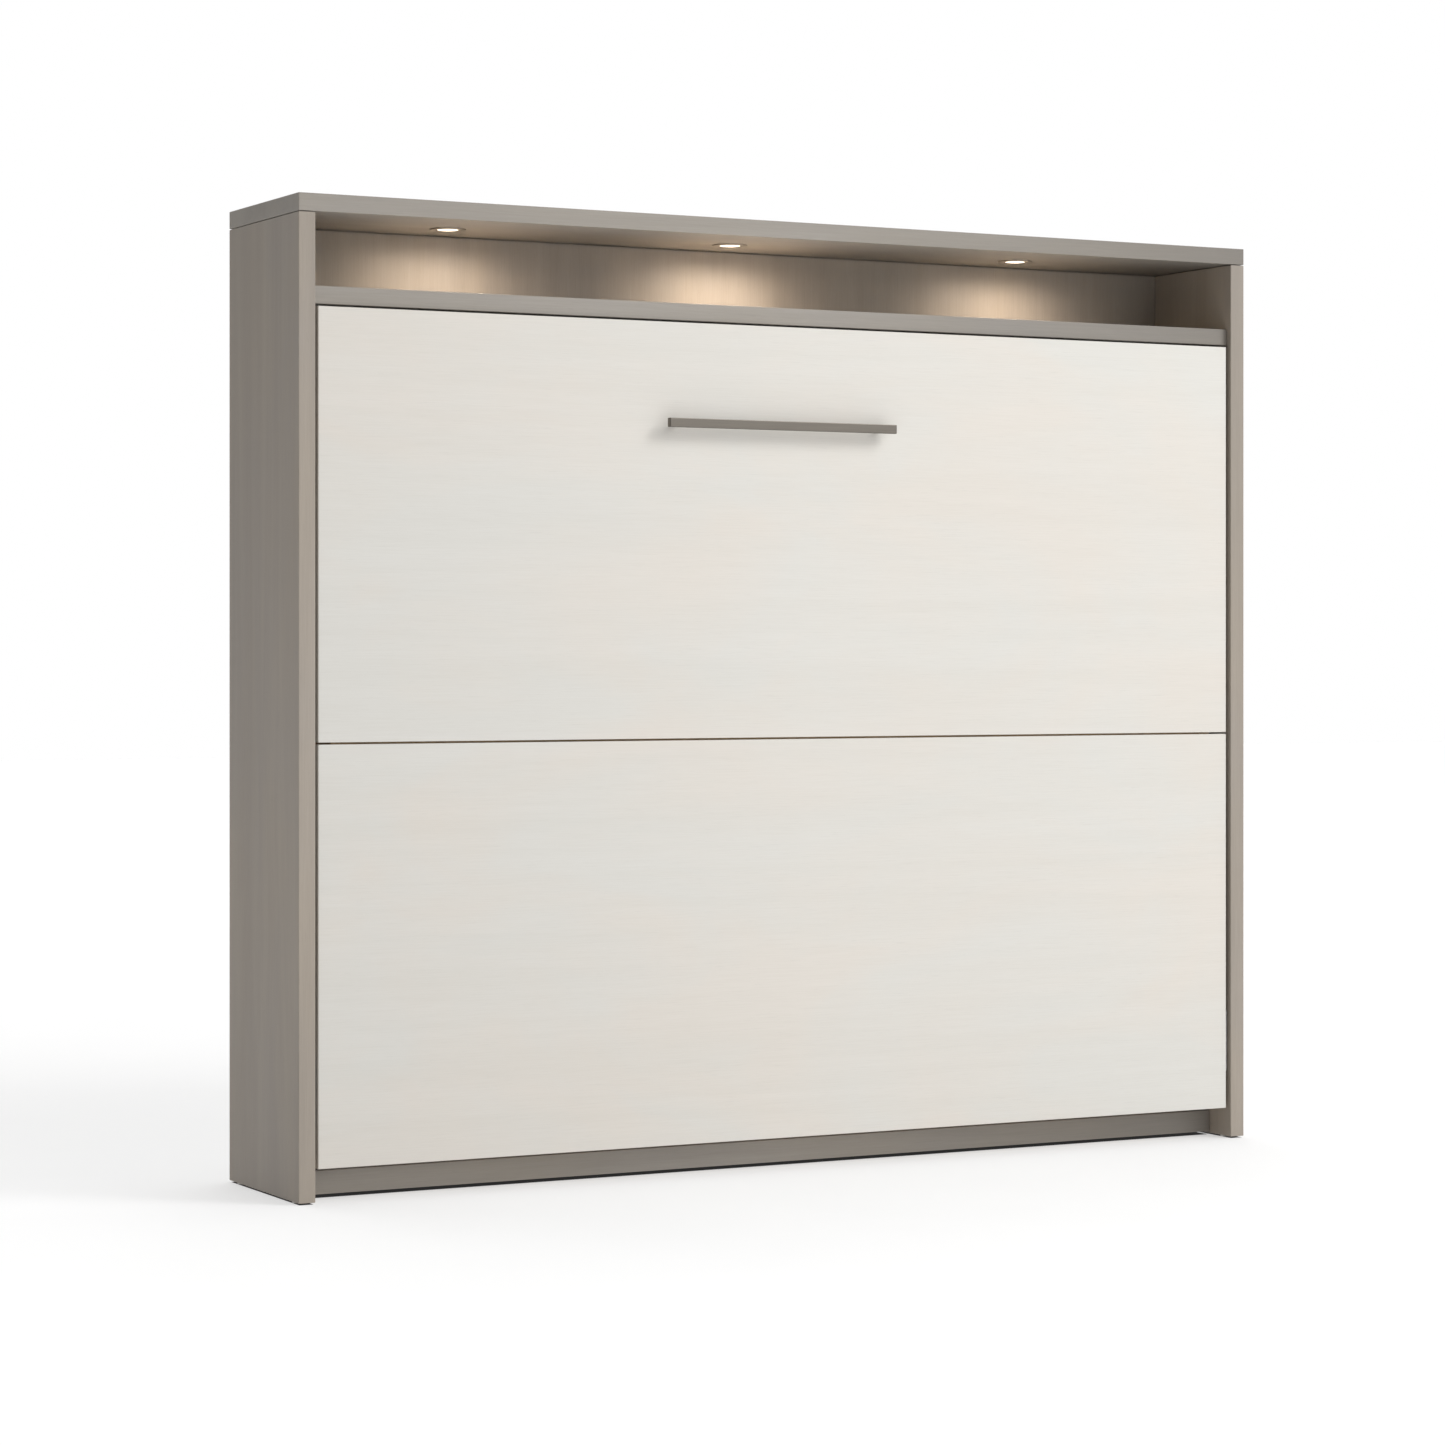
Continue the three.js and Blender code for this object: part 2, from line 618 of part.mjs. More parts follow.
// Plates on the cabinet's sides that carry the bed's pivot pins.
function pivotPlates() {
  const [y, z] = PIVOT;
  const [halfWidth, halfHeight] = PIVOT_PLATE;
  const [screwY, screwZ] = PIVOT_PLATE.map((half) => half - PLATE_SCREW_INSET);
  const corners = [
    [y - screwY, z - screwZ],
    [y - screwY, z + screwZ],
    [y + screwY, z - screwZ],
    [y + screwY, z + screwZ],
  ];
  eachSide((name, side) => {
    const [xa, xb] = [side * PLATE_INNER_X, side * PLATE_OUTER_X].sort((a, b) => a - b);
    const outline = roundedRectangle(2 * halfWidth, 2 * halfHeight, PLATE_CORNER);
    const plate = plateX(outline, xa, xb).translate(0, y, z);
    const pinEnd = side * (BRACKET_INNER_X + PIN_CLEARANCE + FIT);
    const pin = barX(PIN_RADIUS, pinEnd, side * (PLATE_OUTER_X - 1), PIVOT);
    add(`pivot_plate_${name}`, join([cut(plate, screwHoles(xa, xb, corners)), pin]), STEEL);
  });
}

// Plates on the cabinet's sides that the struts push against.
function strutAnchors() {
  const [y, z] = STRUT_ANCHOR;
  const [halfWidth, halfHeight] = ANCHOR_PLATE;
  const screwZ = halfHeight - ANCHOR_SCREW_INSET;
  eachSide((name, side) => {
    const [xa, xb] = [side * PLATE_INNER_X, side * PLATE_OUTER_X].sort((a, b) => a - b);
    const outline = roundedRectangle(2 * halfWidth, 2 * halfHeight, PLATE_CORNER);
    const plate = plateX(outline, xa, xb).translate(0, y, z);
    const holes = screwHoles(xa, xb, [[y, z - screwZ], [y, z + screwZ]]);
    const studStart = side * (STRUT_X - STUD_REACH);
    const stud = barX(STUD_RADIUS, studStart, side * (PLATE_OUTER_X - 1), STRUT_ANCHOR);
    add(`strut_anchor_${name}`, join([cut(plate, holes), stud]), STEEL);
  });
}

// Brackets on the bed frame's ends: a bored hub that turns on the pin, and the strut's stud.
function bedBrackets() {
  const outline = polygon([
    [30, 180],
    [45, 140],
    [140, 128],
    [172, 135],
    [176, 162],
    [166, 180],
    [136, 250],
    [136, 400],
    [126, 410],
    [40, 410],
    [30, 400],
  ]);
  const screws = [[50, 280], [116, 280], [50, 380], [116, 380]];
  eachSide((name, side) => {
    const [xa, xb] = [side * BRACKET_INNER_X, side * BRACKET_OUTER_X].sort((a, b) => a - b);
    const plate = cut(plateX(outline, xa, xb), screwHoles(xa, xb, screws));
    const inside = side * (BRACKET_INNER_X + 1);
    const hub = barX(HUB_RADIUS, inside, side * HUB_OUTER_X, PIVOT);
    const boss = barX(STUD_BOSS_RADIUS, inside, side * (BRACKET_OUTER_X + STUD_BOSS_HEIGHT), STRUT_STUD);
    const bore = barX(PIN_RADIUS + PIN_PLAY, side * (FRAME_X - 1), side * (HUB_OUTER_X + 1), PIVOT);
    add(`bed_bracket_${name}`, cut(join([plate, hub, boss]), [bore]), DARK_STEEL);
  });
}

// Places a piece made along +Z on the line from the strut's anchor to its stud.
function alongStrut(geometry, side) {
  const run = [0, 1].map((axis) => STRUT_STUD[axis] - STRUT_ANCHOR[axis]);
  const direction = new THREE.Vector3(0, ...run).normalize();
  const turn = new THREE.Quaternion().setFromUnitVectors(new THREE.Vector3(0, 0, 1), direction);
  return geometry.applyQuaternion(turn).translate(side * STRUT_X, ...STRUT_ANCHOR);
}

// Gas struts: a hollow tube on the cabinet and a rod with its piston, which slides into the tube.
function gasStruts() {
  const length = Math.hypot(STRUT_STUD[0] - STRUT_ANCHOR[0], STRUT_STUD[1] - STRUT_ANCHOR[1]);
  const [neckStart, neckRadius, collarRadius] = [4, 6, 7];
  const tubeStart = SOCKET_RADIUS + neckStart;
  const [guide, floor, play] = [14, 4, 0.4];
  const guideStart = STRUT_TUBE_END - guide;
  const tube = [
    [0, neckStart],
    [neckRadius, neckStart],
    [neckRadius, tubeStart],
    [STRUT_TUBE_RADIUS, tubeStart],
    [STRUT_TUBE_RADIUS, STRUT_TUBE_END],
    [STRUT_ROD_RADIUS + play, STRUT_TUBE_END],
    [STRUT_ROD_RADIUS + play, guideStart],
    [STRUT_BORE_RADIUS, guideStart],
    [STRUT_BORE_RADIUS, tubeStart + floor],
    [0, tubeStart + floor],
  ];
  const [pistonGap, pistonLength, collar, chamfer] = [8, 14, 10, 2];
  const pistonEnd = guideStart - pistonGap;
  const collarStart = length - SOCKET_RADIUS - collar;
  const rod = [
    [0, pistonEnd - pistonLength],
    [STRUT_BORE_RADIUS - play, pistonEnd - pistonLength],
    [STRUT_BORE_RADIUS - play, pistonEnd],
    [STRUT_ROD_RADIUS, pistonEnd],
    [STRUT_ROD_RADIUS, collarStart - chamfer],
    [collarRadius, collarStart],
    [collarRadius, length],
    [0, length],
  ];
  const socketInner = STRUT_X - SOCKET_RADIUS;
  const socketOuter = STRUT_X + SOCKET_RADIUS;
  eachSide((name, side) => {
    const socketA = barX(SOCKET_RADIUS, side * socketInner, side * socketOuter, STRUT_ANCHOR);
    const holeStart = side * (STRUT_X - STUD_REACH - 1);
    const studHole = barX(STUD_RADIUS + STUD_PLAY, holeStart, side * (socketOuter + 1), STRUT_ANCHOR);
    const body = join([alongStrut(turned(tube), side), socketA]);
    add(`strut_tube_${name}`, cut(body, [studHole]), DARK_STEEL);
    const socketB = barX(SOCKET_RADIUS, side * socketInner, side * socketOuter, STRUT_STUD);
    add(`strut_rod_${name}`, join([alongStrut(turned(rod), side), socketB]), CHROME);
  });
}

// Flat legs in the gap between the face panels' ends and the cabinet's sides.
function legs() {
  const [y, z] = LEG_PIVOT;
  const reach = PIVOT[1] + (y - PIVOT[0]) - FLOOR_CLEARANCE; // from the leg's pin to the floor, bed down
  const footTop = z - reach + FOOT_HEIGHT;
  const outline = new THREE.Shape();
  outline.moveTo(y - LEG_HALF_WIDTH, footTop + FIT);
  outline.lineTo(y + LEG_HALF_WIDTH, footTop + FIT);
  outline.lineTo(y + LEG_HALF_WIDTH, z);
  outline.absarc(y, z, LEG_HALF_WIDTH, 0, Math.PI);
  eachSide((name, side) => {
    const [xa, xb] = [side * LEG_INNER_X, side * LEG_OUTER_X].sort((a, b) => a - b);
    const plate = plateX(outline, xa, xb);
    const hole = barX(LEG_PIN_RADIUS + PIN_PLAY, xa - 1, xb + 1, LEG_PIVOT);
    add(`leg_${name}`, cut(plate, [hole]), STEEL);
    const footHalf = LEG_HALF_WIDTH + FOOT_MARGIN;
    const footLow = [xa - FOOT_LIP, y - footHalf, z - reach];
    const footHigh = [xb + FOOT_LIP, y + footHalf, footTop];
    add(`leg_foot_${name}`, softBlock(footLow, footHigh), RUBBER);
    const spacer = barX(LEG_SPACER_RADIUS, side * BRACKET_INNER_X, side * (LEG_INNER_X - FIT), LEG_PIVOT);
    const pin = barX(LEG_PIN_RADIUS, side * (BRACKET_INNER_X + 1), side * (LEG_OUTER_X + FIT), LEG_PIVOT);
    add(`leg_pivot_${name}`, join([spacer, pin]), STEEL);
  });
}

// ---------------------------------------------------------------- assembly

sidePanels();
glides();
topPanel();
innerBoards();
nicheBack();
wallBrackets();
lights();
cables();
driver();
facePanels();
handle();
frame();
slats();
mattress();
straps();
pivotPlates();
strutAnchors();
bedBrackets();
gasStruts();
legs();

group.position.y = -(HANDLE_FRONT + DEPTH) / 2; // the origin is the middle of the footprint, on the floor

export default group;
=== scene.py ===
"""A horizontal wall bed: the looks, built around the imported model. Metres, +Z up, front towards -Y."""

import math

import bmesh
import bpy
import numpy as np
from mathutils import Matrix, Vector


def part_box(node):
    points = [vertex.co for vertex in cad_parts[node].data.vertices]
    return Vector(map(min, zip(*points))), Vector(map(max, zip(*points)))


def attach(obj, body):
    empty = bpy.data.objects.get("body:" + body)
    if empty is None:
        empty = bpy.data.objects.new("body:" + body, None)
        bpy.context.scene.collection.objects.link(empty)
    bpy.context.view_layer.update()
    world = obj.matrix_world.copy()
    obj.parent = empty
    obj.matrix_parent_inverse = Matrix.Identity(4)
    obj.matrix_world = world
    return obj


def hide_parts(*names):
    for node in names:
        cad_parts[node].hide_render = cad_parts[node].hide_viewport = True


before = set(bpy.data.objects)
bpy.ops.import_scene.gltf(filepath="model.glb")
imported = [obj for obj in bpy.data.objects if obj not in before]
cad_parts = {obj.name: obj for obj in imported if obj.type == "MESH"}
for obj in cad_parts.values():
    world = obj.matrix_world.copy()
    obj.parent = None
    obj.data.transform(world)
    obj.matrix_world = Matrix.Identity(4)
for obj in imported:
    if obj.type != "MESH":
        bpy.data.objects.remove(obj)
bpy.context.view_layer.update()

MM = 0.001
SIDES = (("left", -1), ("right", 1))
LIGHTS = ("left", "middle", "right")

# ------------------------------------------------------------------ camera and studio

VIEW_TURN = math.radians(27.93)  # the camera looks this far to the right of straight on
CAMERA_PLACE = Vector((-3.855, -7.093, 1.070))
LENS = 95.04
SHIFT_UP = -0.0476

BACKDROP_WHITE = 1.0
DOME_BASE = 0.05
SKY_LOBES = (  # where each bright part of the dome is, its strength, and the cosines it fades in between
    (Vector((0.1, 0.3, 1)), 2.9, 0.8, 1.0),
    (Vector((0.5, -0.8, 0.3)), 1.4, 0.6, 0.95),
    (Vector((0.1, 0.95, 0.35)), 0.7, 0.6, 0.95),
)
FLOOR_SIZE = 60
FLOOR_TONE = 0.5
FLOOR_GLOW = 0.5
FAR_GLOW = 0.16  # how much more the floor glows far away, so that it melts into the backdrop
FAR_RANGE = (2.0, 8.0)  # over which distances from the bed that glow comes in
# Painted shadow: under the cabinet the floor's colour and glow are dimmed to this.
PAINTED_UNDER_SHADOW = 0.04  # how light the floor stays in the shadow under the cabinet
UNDER_INSET = 3 * MM  # from the pieces' outlines to the edge of that shadow
KEY_PLACE = Vector((6.0, -6.2, 7.0))
KEY_TARGET = Vector((0.6, 0, 1))
KEY_SIZE = 3.5
KEY_POWER = 400
WARM = (1.0, 0.86, 0.71)
BEAM_POWERS = {"left": 2.15, "middle": 2.6, "right": 2.15}
BEAM_SPREAD = math.radians(178)
BEAM_STEPS = (-45 * MM, 25 * MM, 95 * MM)  # where a niche light's three overlapping beams start
BEAM_DROP = 1.5 * MM  # from the light's ring to the start of its beams


def aim(obj, target):
    obj.rotation_euler = (target - obj.location).to_track_quat("-Z", "Y").to_euler()


def add_light(name, kind, place, target, power, color=(1, 1, 1), **settings):
    data = bpy.data.lights.new(name, kind)
    data.energy = power
    data.color = color
    for setting, value in settings.items():
        setattr(data, setting, value)
    light = bpy.data.objects.new(name, data)
    light.location = place
    aim(light, target)
    bpy.context.scene.collection.objects.link(light)


def make_camera():
    data = bpy.data.cameras.new("view")
    data.lens = LENS
    data.shift_y = SHIFT_UP
    data.clip_end = 200
    camera = bpy.data.objects.new("view", data)
    camera.location = CAMERA_PLACE
    camera.rotation_euler = (math.pi / 2, 0, -VIEW_TURN)
    bpy.context.scene.collection.objects.link(camera)
    bpy.context.scene.camera = camera


def make_world():
    """A white backdrop to look at, and a dome to be lit by: bright overhead, in front and behind."""
    world = bpy.data.worlds.new("studio")
    world.use_nodes = True
    nodes, links = world.node_tree.nodes, world.node_tree.links
    nodes.clear()
    direction = nodes.new("ShaderNodeTexCoord").outputs["Generated"]
    strength = nodes.new("ShaderNodeValue").outputs[0]
    strength.default_value = DOME_BASE
    for toward, gain, start, end in SKY_LOBES:
        facing = nodes.new("ShaderNodeVectorMath")
        facing.operation = "DOT_PRODUCT"
        facing.inputs[1].default_value = toward.normalized()
        links.new(direction, facing.inputs[0])
        fade = nodes.new("ShaderNodeMapRange")
        fade.interpolation_type = "SMOOTHSTEP"
        fade.inputs["From Min"].default_value = start
        fade.inputs["From Max"].default_value = end
        fade.inputs["To Max"].default_value = gain
        links.new(facing.outputs["Value"], fade.inputs["Value"])
        total = nodes.new("ShaderNodeMath")
        links.new(fade.outputs[0], total.inputs[0])
        links.new(strength, total.inputs[1])
        strength = total.outputs[0]
    mix = nodes.new("ShaderNodeMixShader")
    for socket in (1, 2):
        background = nodes.new("ShaderNodeBackground")
        background.inputs["Strength"].default_value = BACKDROP_WHITE
        links.new(background.outputs[0], mix.inputs[socket])
        background.inputs["Color"].default_value = (1, 1, 1, 1)
        if socket == 1:
            links.new(strength, background.inputs["Strength"])
    links.new(nodes.new("ShaderNodeLightPath").outputs["Is Camera Ray"], mix.inputs[0])
    links.new(mix.outputs[0], nodes.new("ShaderNodeOutputWorld").inputs[0])
    bpy.context.scene.world = world


def within(shader, low, high):
    """1 over a rectangle of floor, and 0 round it."""
    under_shadow_mask = 1.0
    for axis, along_axis in enumerate(shader.parts()[:2]):
        middle, half = (low[axis] + high[axis]) / 2, (high[axis] - low[axis]) / 2
        away = shader.math("ABSOLUTE", shader.math("SUBTRACT", along_axis, middle))
        near = shader.math("LESS_THAN", away, half - UNDER_INSET)
        under_shadow_mask = shader.math("MULTIPLY", near, under_shadow_mask)
    return under_shadow_mask


def make_floor():
    """A white studio floor, with a painted shadow under the cabinet: there its colour and glow are dimmed
    to near black.
    """
    bpy.ops.mesh.primitive_plane_add(size=FLOOR_SIZE)
    floor = bpy.context.object
    floor.name = "floor"
    shader = Shader("pale floor", roughness=0.9)
    low, high = shades((FLOOR_TONE,) * 3, 0.99, 1.01)
    tone = shader.ramp(shader.noise((3, 3, 3), detail=2), ((0.3, low), (0.7, high)))
    left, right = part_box("left_side_panel"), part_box("right_side_panel")
    plinth_low, plinth_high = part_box("plinth")
    under_shadow_mask = 0.0
    for low, high in (left, right, (plinth_low, Vector((plinth_high.x, left[1].y, 0)))):
        under_shadow_mask = shader.math("MAXIMUM", within(shader, low, high), under_shadow_mask)
    # Painted shadow: over the cabinet's footprint the floor's colour and glow drop to near black.
    shader.paint(shader.blend(under_shadow_mask, tone, (PAINTED_UNDER_SHADOW,) * 3))
    glow = shader.blend(under_shadow_mask, (1.0, 1.0, 1.0), (PAINTED_UNDER_SHADOW,) * 3)
    distance = shader.node("ShaderNodeVectorMath", operation="LENGTH")
    shader.link(shader.coordinates, distance.inputs[0])
    far = shader.spread(distance.outputs["Value"], FAR_RANGE, (1.0, 1.0 + FAR_GLOW))
    glow = shader.blend(1.0, glow, far, "MULTIPLY")
    shader.link(glow, shader.surface.inputs["Emission Color"])
    shader.surface.inputs["Emission Strength"].default_value = FLOOR_GLOW
    shader.surface.inputs["Specular IOR Level"].default_value = 0
    floor.data.materials.append(shader.material)


def make_studio():
    bpy.context.scene.view_settings.view_transform = "Standard"
    make_world()
    make_floor()
    add_light("key", "AREA", KEY_PLACE, KEY_TARGET, KEY_POWER, size=KEY_SIZE)


# ------------------------------------------------------------------ materials


class Shader:
    """A Principled material, with short ways to add the nodes that vary it."""

    def __init__(self, name, roughness, metallic=0.0):
        self.material = bpy.data.materials.new(name)
        self.material.use_nodes = True
        self.tree = self.material.node_tree
        self.surface = self.tree.nodes["Principled BSDF"]
        self.surface.inputs["Roughness"].default_value = roughness
        self.surface.inputs["Metallic"].default_value = metallic
        self.coordinates = self.tree.nodes.new("ShaderNodeTexCoord").outputs["Object"]

    def link(self, source, target):
        self.tree.links.new(source, target)

    def node(self, kind, **settings):
        made = self.tree.nodes.new(kind)
        for name, value in settings.items():
            setattr(made, name, value)
        return made

    def parts(self):
        """The X, Y and Z of the place that is painted."""
        separate = self.node("ShaderNodeSeparateXYZ")
        self.link(self.coordinates, separate.inputs[0])
        return [separate.outputs[name] for name in "XYZ"]

    def stretched(self, scale, offset=(0, 0, 0)):
        mapping = self.node("ShaderNodeMapping")
        mapping.inputs["Scale"].default_value = scale
        mapping.inputs["Location"].default_value = offset
        self.link(self.coordinates, mapping.inputs["Vector"])
        return mapping.outputs["Vector"]

    def noise(self, scale, detail=3.0, roughness=0.5, distortion=0.0, offset=(0, 0, 0)):
        noise = self.node("ShaderNodeTexNoise")
        noise.inputs["Scale"].default_value = 1.0
        noise.inputs["Detail"].default_value = detail
        noise.inputs["Roughness"].default_value = roughness
        noise.inputs["Distortion"].default_value = distortion
        self.link(self.stretched(scale, offset), noise.inputs["Vector"])
        return noise.outputs["Fac"]

    def math(self, operation, first, second=0.0):
        made = self.node("ShaderNodeMath", operation=operation)
        for socket, value in zip(made.inputs, (first, second)):
            if isinstance(value, (int, float)):
                socket.default_value = value
            else:
                self.link(value, socket)
        return made.outputs[0]

    def ramp(self, factor, stops):
        ramp = self.node("ShaderNodeValToRGB")
        elements = ramp.color_ramp.elements
        while len(elements) < len(stops):
            elements.new(0.5)
        for element, (place, color) in zip(elements, stops):
            element.position = place
            element.color = (*color, 1)
        self.link(factor, ramp.inputs["Fac"])
        return ramp.outputs["Color"]

    def blend(self, factor, first, second, mode="MIX"):
        mix = self.node("ShaderNodeMix", data_type="RGBA", blend_type=mode)
        for socket, value in ((mix.inputs[0], factor), (mix.inputs[6], first), (mix.inputs[7], second)):
            if isinstance(value, (int, float)):
                socket.default_value = value
            elif isinstance(value, tuple):
                socket.default_value = (*value, 1)
            else:
                self.link(value, socket)
        return mix.outputs[2]

    def paint(self, color):
        self.link(color, self.surface.inputs["Base Color"])

    def spread(self, value, source, target):
        """Maps one range of values to another, and holds it at the ends."""
        mapped = self.node("ShaderNodeMapRange")
        for name, setting in zip(("From Min", "From Max", "To Min", "To Max"), (*source, *target)):
            mapped.inputs[name].default_value = setting
        self.link(value, mapped.inputs["Value"])
        return mapped.outputs[0]

    def roughen(self, factor, low, high):
        self.link(self.spread(factor, (0.0, 1.0), (low, high)), self.surface.inputs["Roughness"])

    def bump(self, height, strength, distance):
        bump = self.node("ShaderNodeBump")
        bump.inputs["Strength"].default_value = strength
        bump.inputs["Distance"].default_value = distance
        self.link(height, bump.inputs["Height"])
        self.link(bump.outputs[0], self.surface.inputs["Normal"])


def shades(color, *factors):
    return [tuple(channel * factor for channel in color) for factor in factors]


def along(axis, lengthwise, across):
    """A texture scale that is low along one axis and high across it."""
    return tuple(lengthwise if i == axis else across for i in range(3))


def tinted(color, *tints):
    return [tuple(channel * factor for channel, factor in zip(color, tint)) for tint in tints]


def wood(name, color, axis, contrast=0.1, pores=0.25, roughness=(0.5, 0.62), painted_light=None):
    """Wood or its print, with the grain along an axis: patches, bands, fibres and short dark pores."""
    shader = Shader(name, roughness=sum(roughness) / 2)
    patches = shader.noise(along(axis, 1.4, 4.5), detail=3, distortion=0.8, offset=(4, 2, 7))
    bands = shader.noise(along(axis, 0.6, 12), detail=3, roughness=0.6, distortion=0.6)
    fibres = shader.noise(along(axis, 10, 420), detail=4, roughness=0.65)
    pore = shader.noise(along(axis, 30, 700), detail=2, roughness=0.6, offset=(1, 5, 3))
    warm, cool = tinted(color, WARM_TINT, COOL_TINT)
    ground = shader.ramp(patches, ((0.38, warm), (0.62, cool)))
    broad = shader.ramp(bands, ((0.36, (1 - contrast,) * 3), (0.64, (1 + contrast,) * 3)))
    fine = shader.ramp(fibres, ((0.32, (1 - contrast,) * 3), (0.68, (1 + contrast / 2,) * 3)))
    grain = shader.blend(1.0, shader.blend(1.0, ground, broad, "MULTIPLY"), fine, "MULTIPLY")
    # painted light and shade across the bed, multiplied into the grain
    if painted_light:
        grain = shader.blend(1.0, grain, painted_light_drift(shader, *painted_light), "MULTIPLY")
    specks = shader.math("MULTIPLY", shader.ramp(pore, ((0.3, (1, 1, 1)), (0.38, (0, 0, 0)))), pores)
    shader.paint(shader.blend(specks, grain, shades(color, 0.6)[0]))
    shader.roughen(fibres, *roughness)
    shader.bump(shader.math("SUBTRACT", fibres, specks), 0.25, 0.3 * MM)
    return shader.material


def metal(name, color, axis=None, roughness=(0.3, 0.45)):
    """Metal brushed along an axis, or finely mottled without one."""
    shader = Shader(name, roughness=sum(roughness) / 2, metallic=1.0)
    scale = (90, 90, 90) if axis is None else along(axis, 8, 900)
    lines = shader.noise(scale, detail=4, roughness=0.6)
    dark, light = shades(color, 0.88, 1.1)
    shader.paint(shader.ramp(lines, ((0.3, dark), (0.7, light))))
    shader.roughen(lines, *roughness)
    shader.bump(lines, 0.15, 0.05 * MM)
    return shader.material


def moulded(name, color, roughness=0.5, grain=1400, depth=0.05):
    """Plastic, rubber or powder coat: one colour with slight wear and a fine moulded texture."""
    shader = Shader(name, roughness=roughness)
    wear = shader.noise((25, 25, 25), detail=3)
    texture = shader.noise((grain, grain, grain), detail=2)
    dark, light = shades(color, 0.93, 1.05)
    shader.paint(shader.ramp(wear, ((0.35, dark), (0.65, light))))
    shader.roughen(wear, roughness * 0.9, min(1, roughness * 1.1))
    shader.bump(texture, 0.3, depth * MM)
    return shader.material


WARM_TINT = (1.02, 1.0, 0.955)
COOL_TINT = (0.985, 0.98, 0.97)
# One carcass laminate in two colours: the level boards are painted cooler and the uprights warmer,
# standing in for the different light falling on them.
TAUPE = (0.354, 0.312, 0.271)
LEVEL_TAUPE = (0.35, 0.322, 0.29)
OFF_WHITE = (0.735, 0.712, 0.66)
# Painted light and shade: the boards' colour is multiplied by a tone along the bed that stands in for
# uneven light. Level boards are darker at both ends, most at the right; uprights darker towards the top;
# the face darker at its left end.
PAINTED_LIGHT_SPAN = {0: (0.45, 0.5), 2: (0.5, 0.0)}  # scale and offset that turn metres into a share of the bed
LEVEL_PAINTED_LIGHT = (0, 0.83, 0.94, 0.6)  # the axis, then the tone at its start, middle and end
UPRIGHT_PAINTED_LIGHT = (2, 0.97, 0.97, 0.86)
FACE_PAINTED_LIGHT = (0, 0.9, 0.98, 0.985)
BIRCH = (0.66, 0.47, 0.28)
BEECH = (0.68, 0.46, 0.27)
TICKING = (0.82, 0.8, 0.765)
WEBBING = (0.045, 0.047, 0.052)
HANDLE_BRONZE = (0.165, 0.15, 0.13)
LIGHT_BRONZE = (0.34, 0.31, 0.27)
STEEL = (0.56, 0.57, 0.58)
CHROME = (0.78, 0.79, 0.8)
BLACK = (0.03, 0.031, 0.033)
RUBBER = (0.025, 0.025, 0.026)
WHITE_PLASTIC = (0.78, 0.78, 0.76)
CABLE_WHITE = (0.8, 0.8, 0.78)
TICKING_THREAD = 1.1 * MM
STITCH_WIDTH = 1.1 * MM
STITCH_DASH = (3.2 * MM, 1 * MM)  # half the pitch of the stitches, and half the gap between two


def painted_light_drift(shader, axis, low, middle, high):
    """Painted light and shade: a tone that drifts across the whole bed, along X from the left end or
    along Z from the floor, standing in for the uneven light on it.
    """
    scale, offset = PAINTED_LIGHT_SPAN[axis]
    place = shader.math("ADD", shader.math("MULTIPLY", shader.parts()[axis], scale), offset)
    return shader.ramp(place, ((0.0, (low,) * 3), (0.5, (middle,) * 3), (1.0, (high,) * 3)))


# The carcass laminate, with painted light and shade across the bed.
def laminate(axis, color, painted_light):
    look = {"contrast": 0.06, "pores": 0.22, "roughness": (0.46, 0.6), "painted_light": painted_light}
    return wood("carcass_laminate", color, axis, **look)


def face_laminate():
    """Pale laminate: broad warm and cool patches under short fine level streaks."""
    shader = Shader("face_laminate", roughness=0.5)
    patches = shader.noise((1.6, 1.6, 3.2), detail=4, distortion=0.8)
    bands = shader.noise((0.6, 14, 20), detail=4, roughness=0.6, distortion=0.9, offset=(2, 0, 5))
    streaks = shader.noise(along(0, 9, 520), detail=4, roughness=0.62)
    pore = shader.noise(along(0, 22, 800), detail=2, offset=(3, 8, 1))
    warm, cool = tinted(OFF_WHITE, (1.012, 0.985, 0.975), (0.985, 0.995, 1.01))
    ground = shader.ramp(patches, ((0.38, warm), (0.62, cool)))
    broad = shader.ramp(bands, ((0.36, (0.978, 0.978, 0.974)), (0.64, (1, 1, 1))))
    fine = shader.ramp(streaks, ((0.34, (0.97, 0.966, 0.96)), (0.6, (1, 1, 1))))
    color = shader.blend(1.0, shader.blend(1.0, ground, broad, "MULTIPLY"), fine, "MULTIPLY")
    specks = shader.math("MULTIPLY", shader.ramp(pore, ((0.29, (1, 1, 1)), (0.36, (0, 0, 0)))), 0.16)
    # Painted light and shade: the face is darker towards its left end.
    color = shader.blend(1.0, color, painted_light_drift(shader, *FACE_PAINTED_LIGHT), "MULTIPLY")
    shader.paint(shader.blend(specks, color, shades(OFF_WHITE, 0.68)[0]))
    shader.roughen(streaks, 0.42, 0.56)
    shader.bump(shader.math("SUBTRACT", streaks, specks), 0.22, 0.25 * MM)
    return shader.material


